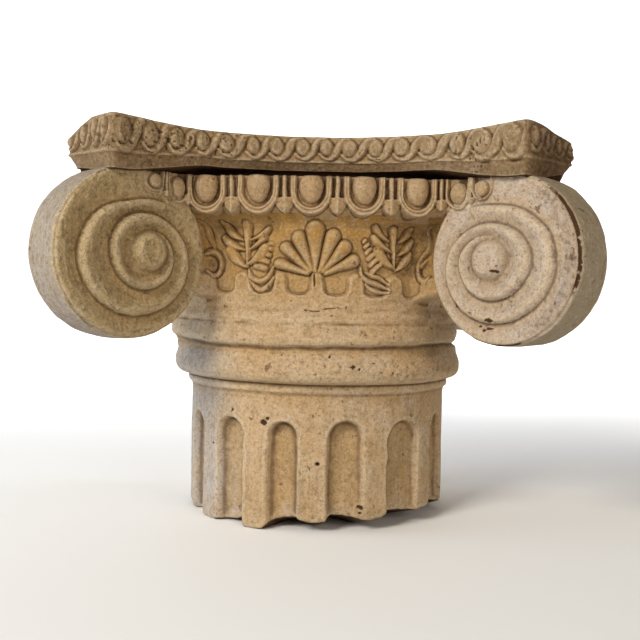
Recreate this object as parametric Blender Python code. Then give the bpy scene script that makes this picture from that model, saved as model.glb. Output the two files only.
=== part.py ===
"""Four-sided Ionic capital on a stub of fluted shaft. Metres, +Z up, front towards -Y."""

import math

import bmesh
import bpy

# Shaft stub and the round mouldings above it, as radius and height of each turn of the outline
SHAFT_RADIUS = 0.150
BODY_SEGMENTS = 42
BODY_OUTLINE = (
    (0.1500, 0.0000),
    (0.1500, 0.1450),
    (0.1545, 0.1470),
    (0.1545, 0.1543),
    (0.1640, 0.1560),
    (0.1700, 0.1630),
    (0.1705, 0.1760),
    (0.1670, 0.1860),
    (0.1600, 0.1915),
    (0.1690, 0.1980),
    (0.1705, 0.2080),
    (0.1680, 0.2230),
    (0.1675, 0.2650),
    (0.1630, 0.2690),
    (0.1630, 0.3640),
)

# Flutes
FLUTE_COUNT = 14
FLUTE_RADIUS = 0.0172
FLUTE_CENTRE = 0.1510
FLUTE_TOP = 0.1187
FLUTE_SIDES = 8
FLUTE_DOME_RINGS = 2
FLUTE_CUT_LOW = -0.020

# Broken lower edge: angle from the front towards the right, and height of the break there
BREAK_STATIONS = ((-30.0, 0.001), (-10.0, 0.008), (5.0, 0.011), (18.0, 0.014), (31.0, 0.021),
                  (43.0, 0.018), (56.0, 0.021), (72.0, 0.012), (90.0, 0.001))
BREAK_RUN = 1.3
BREAK_OUTER_RADIUS = 0.180
BREAK_LOW = -0.010

# Pockets that leave a scalloped edge on the collar, as angles from each face's middle
POCKET_ANGLES = (-36.5, -20.0, -6.7, 6.8, 21.3, 36.9)
POCKET_HALF_WIDTH = 0.0125
POCKET_BEND_STEPS = 5
POCKET_BOTTOM = 0.2485
POCKET_TOP = 0.285
POCKET_FLOOR_RADIUS = 0.1630
POCKET_CUT_DEPTH = 0.020

# Corner volutes: discs on the diagonals, S outwards along the diagonal and T across it
VOLUTE_CENTRE_S = 0.275
VOLUTE_CENTRE_Z = 0.2870
VOLUTE_RADIUS = 0.0843
VOLUTE_EDGE_ROUND = 0.0045
VOLUTE_HALF_THICKNESS = 0.0250
VOLUTE_COLUMNS = 16
EYE_S = 0.2618
EYE_Z = 0.2868
EYE_TOP_RADIUS = 0.0130
EYE_BASE_RADIUS = 0.0175
EYE_PROUD = 0.0100
EYE_DOME = 0.0010
COIL_TURNS = 2
COIL_PROUD = 0.0045
COIL_EDGE = 0.0030
COIL_DRIFT = 0.17
# How far the crease outside each coil sinks, its crest's lift, and the quarter turns it starts over
CREASE_SINK = 0.0010
CREST_LIFT = 0.0005
COIL_START = 1.2
# Radius of the coil's outer edge at each quarter turn, from the top outwards
COIL_RADII = (0.0565, 0.0625, 0.0600, 0.0585, 0.0400, 0.0405, 0.0390, 0.0370, 0.0250)
WEB_HALF_THICKNESS = 0.0150
WEB_INNER_S = 0.120
WEB_OUTER_S = 0.215
WEB_BOTTOM = 0.2480
WEB_TOP = 0.3700

# Abacus
ABACUS_TOP = 0.4120
BAND_BOTTOM = 0.3835
BAND_BOTTOM_HORN = 0.3795
SOFFIT_MIDDLE = 0.3735
SOFFIT_HORN = 0.3620
MEMBER_INSET = 0.003
SOFFIT_INSET = 0.008
HORN_HALF_SPAN = 0.1915
HORN_REACH = 0.2495
SIDE_MIDDLE = 0.1570
SIDE_STEPS = 9
TOP_FLAT_SHARE = 0.80
# The underside sweeps down between these distances from the axis
SWEEP_FROM = 0.21
SWEEP_TO = 0.30
# How much lower the outer end of each worn front horn lies, left then right
HORN_WEAR = (0.014, 0.009)
WORN_PAST = 0.010

# Wave scroll along the abacus band
WAVES_PER_SIDE = 16
WAVES_PER_CHAMFER = 3
WAVE_HALF_WIDTH = 0.0082
WAVE_HALF_HEIGHT = 0.0112
WAVE_PROUD = 0.0042
WAVE_Z = 0.3975
WAVE_SIDES = 6
HIDDEN_WAVE_SIDES = 4
WAVE_LEAN = 0.0045
# Share of its size, and distance out, of each turn of a boss
WAVE_RINGS = ((1.20, -0.0045), (0.70, WAVE_PROUD))

# Echinus: half of one face's outline in plan, as X and distance in front of the axis
ECHINUS_HALF = ((0.0000, 0.1745), (0.0560, 0.1735), (0.0900, 0.1680), (0.1120, 0.1640), (0.1300, 0.1705),
                (0.1440, 0.1800), (0.1700, 0.2060))
ECHINUS_BOTTOM = 0.3300
ECHINUS_TOP = 0.3780
# Height and share of the plan outline at the foot, the shoulder and the top
ECHINUS_RINGS = ((0.3280, 0.955), (0.3360, 1.000), (0.3780, 1.010))
UNDER_SOFFIT = 0.002

# Eggs, shells and darts
EGG_SHIFT = -0.0075
EGG_PITCH = 0.0532
EGG_Z = 0.3535
EGG_HALF_WIDTH = 0.0112
EGG_HALF_HEIGHT = 0.0155
EGG_PROUD = 0.0085
# Share of its size, and of its depth, of each turn of an egg over its foot
EGG_RINGS = ((0.95, 0.35), (0.60, 0.85))
EGG_SIDES = 8
HIDDEN_EGG_SIDES = 5
SMALL_EGGS = ((0.1425, 0.1790, 0.90), (0.1630, 0.2000, 0.72))
SHELL_HALF_WIDTH = 0.0195
SHELL_HALF_HEIGHT = 0.0235
SHELL_RIM = 0.0042
SHELL_PROUD = 0.0060
SHELL_STEPS = 6
SHELL_CREST = 0.35
DART_HALF_WIDTH = 0.0030
DART_SHOULDER_Z = 0.3475
DART_BARB_Z = 0.3425
DART_POINT_Z = 0.3320
DART_POINT_SHARE = 0.14
DART_PROUD = 0.0045
DART_ROOT = 0.009

# Scallop shell on the neck
SCALLOP_Z = 0.2705
SCALLOP_LOBES = ((0.0, 0.0530, 0.0085), (24.0, 0.0480, 0.0080), (47.0, 0.0460, 0.0080),
                 (72.0, 0.0430, 0.0075))
SCALLOP_PROUD = 0.0080
SCALLOP_START = 0.006

# Sprigs on the neck: angle from the front, height of the foot
SPRIGS = ((-26.0, 0.2765), (29.5, 0.2755))
SPRIG_LEAVES = ((0.0, 0.0455, 0.0052, 0.0), (34.0, 0.0300, 0.0046, 0.014), (50.0, 0.0300, 0.0046, 0.006),
                (-34.0, 0.0300, 0.0046, 0.014), (-50.0, 0.0300, 0.0046, 0.006), (38.0, 0.0215, 0.0050, 0.0),
                (-38.0, 0.0215, 0.0050, 0.0))
SPRIG_PROUD = 0.0055
NECK_RADIUS = 0.1630

# A leaf: share of its length, width and height at the foot, the widest part and the tip, then its section
LEAF_STATIONS = ((0.00, 0.32, 0.35), (0.72, 1.00, 1.00), (1.00, 0.50, 0.60))
LEAF_SECTION = ((-1.0, 0.0), (-0.6, 0.8), (0.6, 0.8), (1.0, 0.0))

# Small shells beside the scallop: angle, foot, tip height, half width
TURRET = (20.5, 0.2720, 0.3060, 0.0095)
TURRET_WHORLS = 5
TURRET_DIP = 0.78
TURRET_TAPER = 0.85
TURRET_LEAN = -0.010
TURRET_PROUD = 0.6
BUD = (-19.5, 0.2560, 0.2740, 0.0085)
BUD_STATIONS = ((0.0, 0.4), (0.35, 1.0), (0.7, 0.9), (1.0, 0.3))
BUD_PROUD = 0.006
SIDE_SCROLLS = ((-40.0, 0.2760), (41.0, 0.2700))
SCROLL_RADIUS = 0.0075
SCROLL_RIM = 0.0026
SCROLL_PROUD = 0.0040
SCROLL_STEPS = 8
SCROLL_FROM = -60
SCROLL_SWEEP = 300

GLUE = 0.0045
FLAT_WITHIN = 1e-6
STONE_COLOUR = (0.560, 0.430, 0.260, 1.0)
STONE_ROUGHNESS = 0.8


def clear_scene():
    for thing in list(bpy.data.objects):
        bpy.data.objects.remove(thing)


def flatness(face):
    """How far the corners of a face stand from its plane."""
    middle = face.calc_center_median()
    return max(abs((corner.co - middle).dot(face.normal)) for corner in face.verts)


def make_object(name, points, faces):
    mesh = bpy.data.meshes.new(name)
    mesh.from_pydata(points, [], faces)
    body = bmesh.new()
    body.from_mesh(mesh)
    bmesh.ops.recalc_face_normals(body, faces=body.faces)
    body.normal_update()
    bent = [face for face in body.faces if len(face.verts) > 3 and flatness(face) > FLAT_WITHIN]
    bmesh.ops.triangulate(body, faces=bent)
    body.to_mesh(mesh)
    body.free()
    made = bpy.data.objects.new(name, mesh)
    bpy.context.scene.collection.objects.link(made)
    return made


class Shapes:
    """Closed shells gathered into one mesh."""

    def __init__(self):
        self.points = []
        self.faces = []

    def rings(self, rings, centre_start=None, centre_end=None):
        """Joins rings of equal length into a closed shell, each end filled from a centre point."""
        start = len(self.points)
        count = len(rings[0])
        for ring in rings:
            self.points.extend(ring)
        for row in range(len(rings) - 1):
            for k in range(count):
                a = start + row * count + k
                b = start + row * count + (k + 1) % count
                self.faces.append((a, b, b + count, a + count))
        for centre, row in ((centre_start, 0), (centre_end, len(rings) - 1)):
            first = start + row * count
            if centre is None:
                self.faces.append(tuple(range(first, first + count)))
                continue
            self.points.append(centre)
            hub = len(self.points) - 1
            for k in range(count):
                self.faces.append((first + k, first + (k + 1) % count, hub))

    def build(self, name):
        return make_object(name, self.points, self.faces)


def combine(target, other, operation):
    change = target.modifiers.new("join", "BOOLEAN")
    change.operation = operation
    change.solver = "EXACT"
    change.object = other
    with bpy.context.temp_override(object=target, active_object=target, selected_objects=[target]):
        bpy.ops.object.modifier_apply(modifier=change.name)
    bpy.data.objects.remove(other)


def turned(point, quarter):
    """A point turned about the axis by so many quarter turns."""
    x, y, z = point
    for _ in range(quarter):
        x, y = -y, x
    return (x, y, z)


def between(table, x):
    """Straight-line reading of a table of (x, value)."""
    if x <= table[0][0]:
        return table[0][1]
    for (x0, y0), (x1, y1) in zip(table, table[1:]):
        if x <= x1:
            return y0 + (y1 - y0) * (x - x0) / (x1 - x0)
    return table[-1][1]


def on_neck(angle, across, z, out):
    """A point on the neck: angle of the ornament's middle, offset along the surface, height, distance out."""
    turn = math.radians(angle) + across / NECK_RADIUS
    radius = NECK_RADIUS + out
    return (radius * math.sin(turn), -radius * math.cos(turn), z)


def turned_body():
    shapes = Shapes()
    rings = []
    for radius, z in BODY_OUTLINE:
        ring = []
        for k in range(BODY_SEGMENTS):
            a = 2 * math.pi * k / BODY_SEGMENTS
            ring.append((radius * math.sin(a), -radius * math.cos(a), z))
        rings.append(ring)
    shapes.rings(rings, (0, 0, BODY_OUTLINE[0][1]), (0, 0, BODY_OUTLINE[-1][1]))
    return shapes.build("ionic_capital")


def flute_cutters():
    shapes = Shapes()
    straight_top = FLUTE_TOP - FLUTE_RADIUS
    levels = [(FLUTE_CUT_LOW, 1.0), (straight_top, 1.0)]
    for k in range(1, FLUTE_DOME_RINGS):
        a = 0.5 * math.pi * k / FLUTE_DOME_RINGS
        levels.append((straight_top + FLUTE_RADIUS * math.sin(a), math.cos(a)))
    for n in range(FLUTE_COUNT):
        turn = 2 * math.pi * (n + 0.5) / FLUTE_COUNT
        cx = FLUTE_CENTRE * math.sin(turn)
        cy = -FLUTE_CENTRE * math.cos(turn)
        rings = []
        for z, share in levels:
            ring = []
            for k in range(FLUTE_SIDES):
                a = turn + 2 * math.pi * k / FLUTE_SIDES
                r = FLUTE_RADIUS * share
                ring.append((cx + r * math.sin(a), cy - r * math.cos(a), z))
            rings.append(ring)
        shapes.rings(rings, (cx, cy, levels[0][0]), (cx, cy, FLUTE_TOP))
    return shapes.build("flute_cutters")


def break_cutter():
    """A wedge that follows the lower edge and takes away what is broken off it."""
    shapes = Shapes()
    rings = []
    for angle, height in BREAK_STATIONS:
        a = math.radians(angle)
        inner = SHAFT_RADIUS - height * BREAK_RUN
        outer_z = height + (BREAK_OUTER_RADIUS - SHAFT_RADIUS) / BREAK_RUN
        low_inner = inner + BREAK_LOW * BREAK_RUN
        ring = []
        for r, z in ((low_inner, BREAK_LOW), (BREAK_OUTER_RADIUS, BREAK_LOW), (BREAK_OUTER_RADIUS, outer_z)):
            ring.append((r * math.sin(a), -r * math.cos(a), z))
        rings.append(ring)
    shapes.rings(rings)
    return shapes.build("break_cutter")


def pocket_cutters():
    shapes = Shapes()
    outline = [(POCKET_HALF_WIDTH, POCKET_TOP)]
    for k in range(POCKET_BEND_STEPS + 1):
        a = math.pi * k / POCKET_BEND_STEPS
        z = POCKET_BOTTOM + POCKET_HALF_WIDTH * (1 - math.sin(a))
        outline.append((POCKET_HALF_WIDTH * math.cos(a), z))
    outline.append((-POCKET_HALF_WIDTH, POCKET_TOP))
    for angle in POCKET_ANGLES:
        a = math.radians(angle)
        rings = []
        for out in (POCKET_FLOOR_RADIUS, POCKET_FLOOR_RADIUS + POCKET_CUT_DEPTH):
            ring = []
            for across, z in outline:
                x = out * math.sin(a) + across * math.cos(a)
                y = across * math.sin(a) - out * math.cos(a)
                ring.append((x, y, z))
            rings.append(ring)
        shapes.rings(rings)
    return shapes.build("pocket_cutters")


def diagonal(s, t, z, quarter):
    """A point given along and across the right-hand front diagonal, turned to its corner."""
    half = math.sqrt(0.5)
    return turned((half * (s - t), -half * (s + t), z), quarter)


def coil_radius(turn):
    """Radius of the coil's outer edge after so many quarter turns."""
    return between(tuple(enumerate(COIL_RADII)), turn)


def disc_reach(angle, radius):
    """Distance from the eye to a circle about the disc's centre, in one direction."""
    ds = EYE_S - VOLUTE_CENTRE_S
    dz = EYE_Z - VOLUTE_CENTRE_Z
    along = ds * math.sin(angle) + dz * math.cos(angle)
    return -along + math.sqrt(along**2 + radius**2 - ds**2 - dz**2)


def volute_lines(column):
    """Distance from the eye and height over the face of each coil line in one column: edge, then crease."""
    angle = 2 * math.pi * column / VOLUTE_COLUMNS
    lines = []
    for coil in range(COIL_TURNS):
        turn = 4 * (coil + column / VOLUTE_COLUMNS)
        outer = coil_radius(turn) + COIL_DRIFT * coil_radius(turn) * math.sin(angle)
        fade = min(1.0, turn / COIL_START)
        lines.append((outer, -CREASE_SINK * fade))
        lines.append((outer - COIL_EDGE, COIL_PROUD * fade + CREST_LIFT))
    return lines


def volute_disc(quarter):
    """One disc, with the same two-turn coil on both faces, as one closed mesh."""
    points = []
    faces = []
    eye_rows = ((EYE_BASE_RADIUS, -CREASE_SINK), (EYE_TOP_RADIUS, EYE_PROUD))
    rows = 2 * COIL_TURNS + 1 + len(eye_rows)
    rows_per_turn = 2
    for side in (-1, 1):
        start = len(points)
        for column in range(VOLUTE_COLUMNS):
            angle = 2 * math.pi * column / VOLUTE_COLUMNS
            face_edge = disc_reach(angle, VOLUTE_RADIUS - VOLUTE_EDGE_ROUND)
            lines = [(face_edge, 0.0)] + volute_lines(column) + list(eye_rows)
            for radius, height in lines:
                s = EYE_S + radius * math.sin(angle)
                z = EYE_Z + radius * math.cos(angle)
                points.append(diagonal(s, side * (VOLUTE_HALF_THICKNESS + height), z, quarter))
        points.append(diagonal(EYE_S, side * (VOLUTE_HALF_THICKNESS + EYE_PROUD + EYE_DOME), EYE_Z, quarter))
        hub = len(points) - 1

        def at(column, row):
            return start + (column % VOLUTE_COLUMNS) * rows + row

        coil_rows = 2 * COIL_TURNS
        for column in range(VOLUTE_COLUMNS):
            last = column == VOLUTE_COLUMNS - 1
            faces.append((at(column, rows - 1), at(column + 1, rows - 1), hub))
            faces.append((at(column, rows - 2), at(column + 1, rows - 2), at(column + 1, rows - 1),
                          at(column, rows - 1)))
            if not last:
                for row in range(coil_rows + 1):
                    faces.append((at(column, row), at(column + 1, row), at(column + 1, row + 1),
                                  at(column, row + 1)))
                continue
            # The seam, where each coil line runs on into the next coil's
            for row in range(1, coil_rows - rows_per_turn):
                low = row + rows_per_turn
                faces.append((at(column, row), at(0, low), at(0, low + 1), at(column, row + 1)))
            outer = [at(column, 0)] + [at(0, row) for row in range(rows_per_turn + 2)]
            for k in range(len(outer) - 1):
                faces.append((at(column, 1), outer[k], outer[k + 1]))
            inner = [at(column, row) for row in range(coil_rows - rows_per_turn, coil_rows + 2)]
            faces.append((inner[-1], at(0, coil_rows + 1), at(0, coil_rows)))
            for k in range(len(inner) - 1):
                faces.append((at(0, coil_rows), inner[k], inner[k + 1]))
    rim = []
    inner_t = VOLUTE_HALF_THICKNESS - VOLUTE_EDGE_ROUND
    for t in (-inner_t, inner_t):
        row = []
        for column in range(VOLUTE_COLUMNS):
            angle = 2 * math.pi * column / VOLUTE_COLUMNS
            reach = disc_reach(angle, VOLUTE_RADIUS)
            s = EYE_S + reach * math.sin(angle)
            z = EYE_Z + reach * math.cos(angle)
            points.append(diagonal(s, t, z, quarter))
            row.append(len(points) - 1)
        rim.append(row)
    back = [column * rows for column in range(VOLUTE_COLUMNS)]
    front = [rows * VOLUTE_COLUMNS + 1 + column * rows for column in range(VOLUTE_COLUMNS)]
    strips = [back] + rim + [front]
    for low, high in zip(strips, strips[1:]):
        for column in range(VOLUTE_COLUMNS):
            nxt = (column + 1) % VOLUTE_COLUMNS
            faces.append((low[column], low[nxt], high[nxt], high[column]))
    return make_object("volute_disc", points, faces)


def webs():
    """Blocks behind the volutes, which tie them to the neck."""
    shapes = Shapes()
    for quarter in range(4):
        rings = []
        for s in (WEB_INNER_S, WEB_OUTER_S):
            w = WEB_HALF_THICKNESS
            corners = ((-w, WEB_BOTTOM), (w, WEB_BOTTOM), (w, WEB_TOP), (-w, WEB_TOP))
            rings.append([diagonal(s, t, z, quarter) for t, z in corners])
        shapes.rings(rings)
    return shapes.build("webs")


def side_curve(x):
    """Distance of the abacus side in front of the axis."""
    sag = HORN_REACH - SIDE_MIDDLE
    radius = (HORN_HALF_SPAN**2 + sag**2) / (2 * sag)
    return SIDE_MIDDLE + radius - math.sqrt(radius**2 - x**2)


def horn_share(x, y):
    """0 at the middle of a side, 1 at the horns."""
    reach = math.hypot(x, y)
    share = (reach - SWEEP_FROM) / (SWEEP_TO - SWEEP_FROM)
    share = max(0.0, min(1.0, share))
    return share * share * (3 - 2 * share)


def abacus():
    shapes = Shapes()
    outline = []
    for quarter in range(4):
        for k in range(SIDE_STEPS + 1):
            x = HORN_HALF_SPAN * (2 * k / SIDE_STEPS - 1)
            outline.append(turned((x, -side_curve(x), 0), quarter))
    rings = [[(x * TOP_FLAT_SHARE, y * TOP_FLAT_SHARE, ABACUS_TOP) for x, y, _ in outline]]
    for level in range(4):
        ring = []
        for x, y, _ in outline:
            horn = horn_share(x, y)
            reach = math.hypot(x, y)
            band = BAND_BOTTOM + (BAND_BOTTOM_HORN - BAND_BOTTOM) * horn
            soffit = SOFFIT_MIDDLE + (SOFFIT_HORN - SOFFIT_MIDDLE) * horn
            worn_end = y < 0 and abs(x) > HORN_HALF_SPAN + WORN_PAST
            wear = HORN_WEAR[0 if x < 0 else 1] if worn_end else 0.0
            z = (ABACUS_TOP - wear, band, band, soffit)[level]
            inset = (0.0, 0.0, MEMBER_INSET, SOFFIT_INSET)[level]
            share = 1 - inset / reach
            ring.append((x * share, y * share, z))
        rings.append(ring)
    shapes.rings(rings, (0, 0, ABACUS_TOP), (0, 0, SOFFIT_MIDDLE))
    return shapes.build("abacus")


def waves():
    shapes = Shapes()
    places = []
    for k in range(WAVES_PER_SIDE):
        x = HORN_HALF_SPAN * (2 * (k + 0.5) / WAVES_PER_SIDE - 1)
        slope = (side_curve(x + 0.001) - side_curve(x - 0.001)) / 0.002
        places.append((x, -side_curve(x), math.atan(slope)))
    for k in range(WAVES_PER_CHAMFER):
        share = (k + 0.5) / WAVES_PER_CHAMFER
        x = HORN_HALF_SPAN + (HORN_REACH - HORN_HALF_SPAN) * share
        y = -HORN_REACH + (HORN_REACH - HORN_HALF_SPAN) * share
        places.append((x, y, -0.25 * math.pi))
    for quarter in range(4):
        for k_place, (x, y, facing) in enumerate(places):
            on_right_chamfer = k_place >= WAVES_PER_SIDE
            seen = quarter == 0 or (quarter == 3 and on_right_chamfer)
            sides = WAVE_SIDES if seen else HIDDEN_WAVE_SIDES
            along = (math.cos(facing), -math.sin(facing))
            out = (-math.sin(facing), -math.cos(facing))
            rings = []
            for share, depth in WAVE_RINGS:
                ring = []
                for k in range(sides):
                    a = 2 * math.pi * (k + 0.5) / sides
                    up = WAVE_HALF_HEIGHT * share * math.sin(a)
                    over = WAVE_HALF_WIDTH * share * math.cos(a) + WAVE_LEAN * up / WAVE_HALF_HEIGHT
                    px = x + along[0] * over + out[0] * depth
                    py = y + along[1] * over + out[1] * depth
                    ring.append(turned((px, py, WAVE_Z + up), quarter))
                rings.append(ring)
            shapes.rings(rings)
    return shapes.build("waves")


def echinus():
    shapes = Shapes()
    half = ECHINUS_HALF
    face = [(-x, -y) for x, y in reversed(half[1:])] + [(x, -y) for x, y in half]
    rings = []
    for z, share in ECHINUS_RINGS:
        ring = []
        for quarter in range(4):
            ring += [turned((x * share, y * share, z), quarter) for x, y in face]
        rings.append(ring)
    shapes.rings(rings, (0, 0, ECHINUS_BOTTOM), (0, 0, ECHINUS_TOP))
    return shapes.build("echinus")


def echinus_front(x):
    """Distance of the echinus in front of the axis, and the way its face turns."""
    y = between(ECHINUS_HALF, abs(x))
    slope = (between(ECHINUS_HALF, abs(x) + 0.004) - between(ECHINUS_HALF, abs(x) - 0.004)) / 0.008
    return y, math.atan(slope) * (1 if x > 0 else -1)


def egg_places():
    """X, distance in front, facing and size of each egg on one face."""
    places = []
    for k in range(-2, 3):
        x = EGG_SHIFT + k * EGG_PITCH
        y, facing = echinus_front(x)
        places.append((x, y, facing, 1.0))
    for x, y, size in SMALL_EGGS:
        places.append((x, y, 0.25 * math.pi, size))
        places.append((-x, y, -0.25 * math.pi, size))
    return sorted(places)


def face_point(place, across, z, out, quarter):
    x, y, facing = place[:3]
    px = x + math.cos(facing) * across - math.sin(facing) * out
    py = -y - math.sin(facing) * across - math.cos(facing) * out
    return turned((px, py, z), quarter)


def eggs():
    shapes = Shapes()
    for quarter in range(4):
        for place in egg_places():
            size = place[3]
            rings = []
            sides = HIDDEN_EGG_SIDES if quarter else EGG_SIDES
            shown = EGG_RINGS[:1] if quarter else EGG_RINGS
            for share, depth in ((1.0, -GLUE),) + tuple((wide, high * EGG_PROUD) for wide, high in shown):
                ring = []
                for k in range(sides):
                    a = 2 * math.pi * k / sides
                    across = EGG_HALF_WIDTH * size * share * math.cos(a)
                    z = EGG_Z + EGG_HALF_HEIGHT * size * share * math.sin(a)
                    ring.append(face_point(place, across, z, depth * size, quarter))
                rings.append(ring)
            shapes.rings(rings, face_point(place, 0, EGG_Z, -GLUE, quarter),
                         face_point(place, 0, EGG_Z, EGG_PROUD * size, quarter))
    return shapes.build("eggs")


def egg_shells(parity):
    """A raised U round every other egg, closed against the soffit, so that no two in one mesh touch."""
    shapes = Shapes()
    for place in egg_places()[parity::2]:
        size = place[3]
        rings = []
        for k in range(SHELL_STEPS + 1):
            a = math.pi * k / SHELL_STEPS
            ring = []
            for scale, depth in ((0.0, -GLUE), (SHELL_CREST, SHELL_PROUD * size), (1.0, -GLUE)):
                wide = SHELL_HALF_WIDTH * size - SHELL_RIM * scale
                tall = SHELL_HALF_HEIGHT * size - SHELL_RIM * scale
                z = ECHINUS_TOP - UNDER_SOFFIT if k in (0, SHELL_STEPS) else EGG_Z - tall * math.sin(a)
                ring.append(face_point(place, wide * math.cos(a), z, depth, 0))
            rings.append(ring)
        shapes.rings(rings)
    return shapes.build("egg_shells")


def darts():
    shapes = Shapes()
    places = egg_places()
    top = ECHINUS_TOP - UNDER_SOFFIT
    for left, right in zip(places, places[1:]):
        x, y, facing, size = [0.5 * (a + b) for a, b in zip(left, right)]
        if abs(x) < SMALL_EGGS[0][0] - DART_ROOT:
            y, facing = echinus_front(x)
        place = (x, y, facing)
        wide = DART_HALF_WIDTH * size
        tip = DART_POINT_SHARE * math.hypot(right[0] - left[0], right[1] - left[1])
        half = ((wide, top), (wide, DART_SHOULDER_Z), (tip, DART_BARB_Z))
        outline = [(-across, z) for across, z in half] + [(0, DART_POINT_Z)] + list(reversed(half))
        rings = []
        for depth in (-DART_ROOT, DART_PROUD * size):
            rings.append([face_point(place, across, z, depth, 0) for across, z in outline])
        shapes.rings(rings)
    return shapes.build("darts")


def leaf(shapes, angle, foot_across, foot_z, lean, length, half_width, proud):
    """A tapering rounded lobe lying on the neck, from its foot along a leaning line."""
    lean = math.radians(lean)
    rings = []
    for share, wide, high in LEAF_STATIONS:
        ring = []
        for over, rise in LEAF_SECTION:
            run = share * length
            side = over * half_width * wide
            across = foot_across + run * math.sin(lean) + side * math.cos(lean)
            z = foot_z + run * math.cos(lean) - side * math.sin(lean)
            ring.append(on_neck(angle, across, z, rise * proud * high if rise else -GLUE))
        rings.append(ring)
    shapes.rings(rings)


def scallops(parity):
    """Every third lobe of the scallop shell, so that no two in one mesh touch."""
    shapes = Shapes()
    lobes = [(-lean, length, wide) for lean, length, wide in reversed(SCALLOP_LOBES[1:])]
    lobes += SCALLOP_LOBES
    for lean, length, wide in lobes[parity::3]:
        across = SCALLOP_START * math.sin(math.radians(lean))
        z = SCALLOP_Z + SCALLOP_START * math.cos(math.radians(lean))
        leaf(shapes, 0.0, across, z, lean, length - SCALLOP_START, wide, SCALLOP_PROUD)
    return shapes.build("scallops")


def sprigs(number):
    """The same leaf of both sprigs, so that no two in one mesh touch."""
    shapes = Shapes()
    lean, length, wide, lift = SPRIG_LEAVES[number]
    for angle, foot in SPRIGS:
        leaf(shapes, angle, 0.0, foot + lift, lean, length, wide, SPRIG_PROUD)
    return shapes.build("sprigs")


def small_shells():
    """The turret shell and the bud beside the scallop, on the front only."""
    shapes = Shapes()
    angle, foot, tip, wide = TURRET
    rings = []
    for k in range(TURRET_WHORLS + 1):
        for dip, later in ((1.0, 0.0), (TURRET_DIP, 0.5)):
            share = (k + later) / (TURRET_WHORLS + 0.5)
            half = wide * (1 - TURRET_TAPER * share) * dip
            out = half * TURRET_PROUD
            across = TURRET_LEAN * share
            z = foot + (tip - foot) * share
            ring = [on_neck(angle, across - half, z, -GLUE), on_neck(angle, across - 0.5 * half, z, out),
                    on_neck(angle, across + 0.5 * half, z, out), on_neck(angle, across + half, z, -GLUE)]
            rings.append(ring)
    shapes.rings(rings)
    angle, foot, tip, wide = BUD
    rings = []
    for share, size in BUD_STATIONS:
        half = wide * size
        out = BUD_PROUD * size
        across = BUD_PROUD * share
        z = foot + (tip - foot) * share
        ring = [on_neck(angle, across - half, z, -GLUE), on_neck(angle, across - 0.5 * half, z, out),
                on_neck(angle, across + 0.5 * half, z, out), on_neck(angle, across + half, z, -GLUE)]
        rings.append(ring)
    shapes.rings(rings)
    return shapes.build("small_shells")


def side_scrolls():
    """A small open scroll next to each front volute."""
    shapes = Shapes()
    for angle, z_centre in SIDE_SCROLLS:
        rings = []
        for k in range(SCROLL_STEPS + 1):
            a = math.radians(SCROLL_FROM + SCROLL_SWEEP * k / SCROLL_STEPS)
            ring = []
            for grow, out in ((-1.0, -GLUE), (0.0, SCROLL_PROUD), (1.0, -GLUE)):
                radius = SCROLL_RADIUS + grow * SCROLL_RIM
                ring.append(on_neck(angle, radius * math.cos(a), z_centre + radius * math.sin(a), out))
            rings.append(ring)
        shapes.rings(rings)
    return shapes.build("side_scrolls")


def paint(body):
    material = bpy.data.materials.new("stone")
    material.use_nodes = True
    shader = material.node_tree.nodes["Principled BSDF"]
    shader.inputs["Base Color"].default_value = STONE_COLOUR
    shader.inputs["Roughness"].default_value = STONE_ROUGHNESS
    body.data.materials.clear()
    body.data.materials.append(material)


def main():
    clear_scene()
    capital = turned_body()
    combine(capital, flute_cutters(), "DIFFERENCE")
    combine(capital, break_cutter(), "DIFFERENCE")
    combine(capital, pocket_cutters(), "DIFFERENCE")
    combine(capital, webs(), "UNION")
    for quarter in range(4):
        combine(capital, volute_disc(quarter), "UNION")
    combine(capital, echinus(), "UNION")
    for ornament in (egg_shells(0), egg_shells(1), eggs(), darts()):
        combine(capital, ornament, "UNION")
    slab = abacus()
    combine(slab, waves(), "UNION")
    combine(capital, slab, "UNION")
    for parity in range(3):
        combine(capital, scallops(parity), "UNION")
    for number in range(len(SPRIG_LEAVES)):
        combine(capital, sprigs(number), "UNION")
    combine(capital, small_shells(), "UNION")
    combine(capital, side_scrolls(), "UNION")
    paint(capital)


main()
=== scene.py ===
import math
from functools import reduce

import bmesh
import bpy
import numpy as np
from mathutils import Matrix, Vector


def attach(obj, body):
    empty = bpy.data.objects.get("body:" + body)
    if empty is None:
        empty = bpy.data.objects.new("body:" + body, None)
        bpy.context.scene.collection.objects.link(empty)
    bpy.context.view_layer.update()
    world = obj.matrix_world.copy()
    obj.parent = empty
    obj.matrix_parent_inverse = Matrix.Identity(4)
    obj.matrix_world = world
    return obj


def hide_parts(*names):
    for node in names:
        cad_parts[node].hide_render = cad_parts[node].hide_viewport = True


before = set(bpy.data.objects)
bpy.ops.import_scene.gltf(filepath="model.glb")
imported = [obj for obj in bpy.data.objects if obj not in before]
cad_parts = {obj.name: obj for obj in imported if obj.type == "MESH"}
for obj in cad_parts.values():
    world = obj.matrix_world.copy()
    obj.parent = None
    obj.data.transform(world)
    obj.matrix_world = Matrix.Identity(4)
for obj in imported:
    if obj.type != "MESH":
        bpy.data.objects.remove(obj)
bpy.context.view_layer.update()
HALF = math.sqrt(0.5)

# Camera, fitted to the photograph: focal length in pixels of a 640 pixel frame, place, turn, pitch and roll
FOCAL = 856.7
CAMERA_X = 0.0170
CAMERA_Y = -1.0352
CAMERA_Z = 0.2519
CAMERA_YAW = -0.0153
CAMERA_PITCH = -0.0319
CAMERA_ROLL = 0.0214

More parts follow.
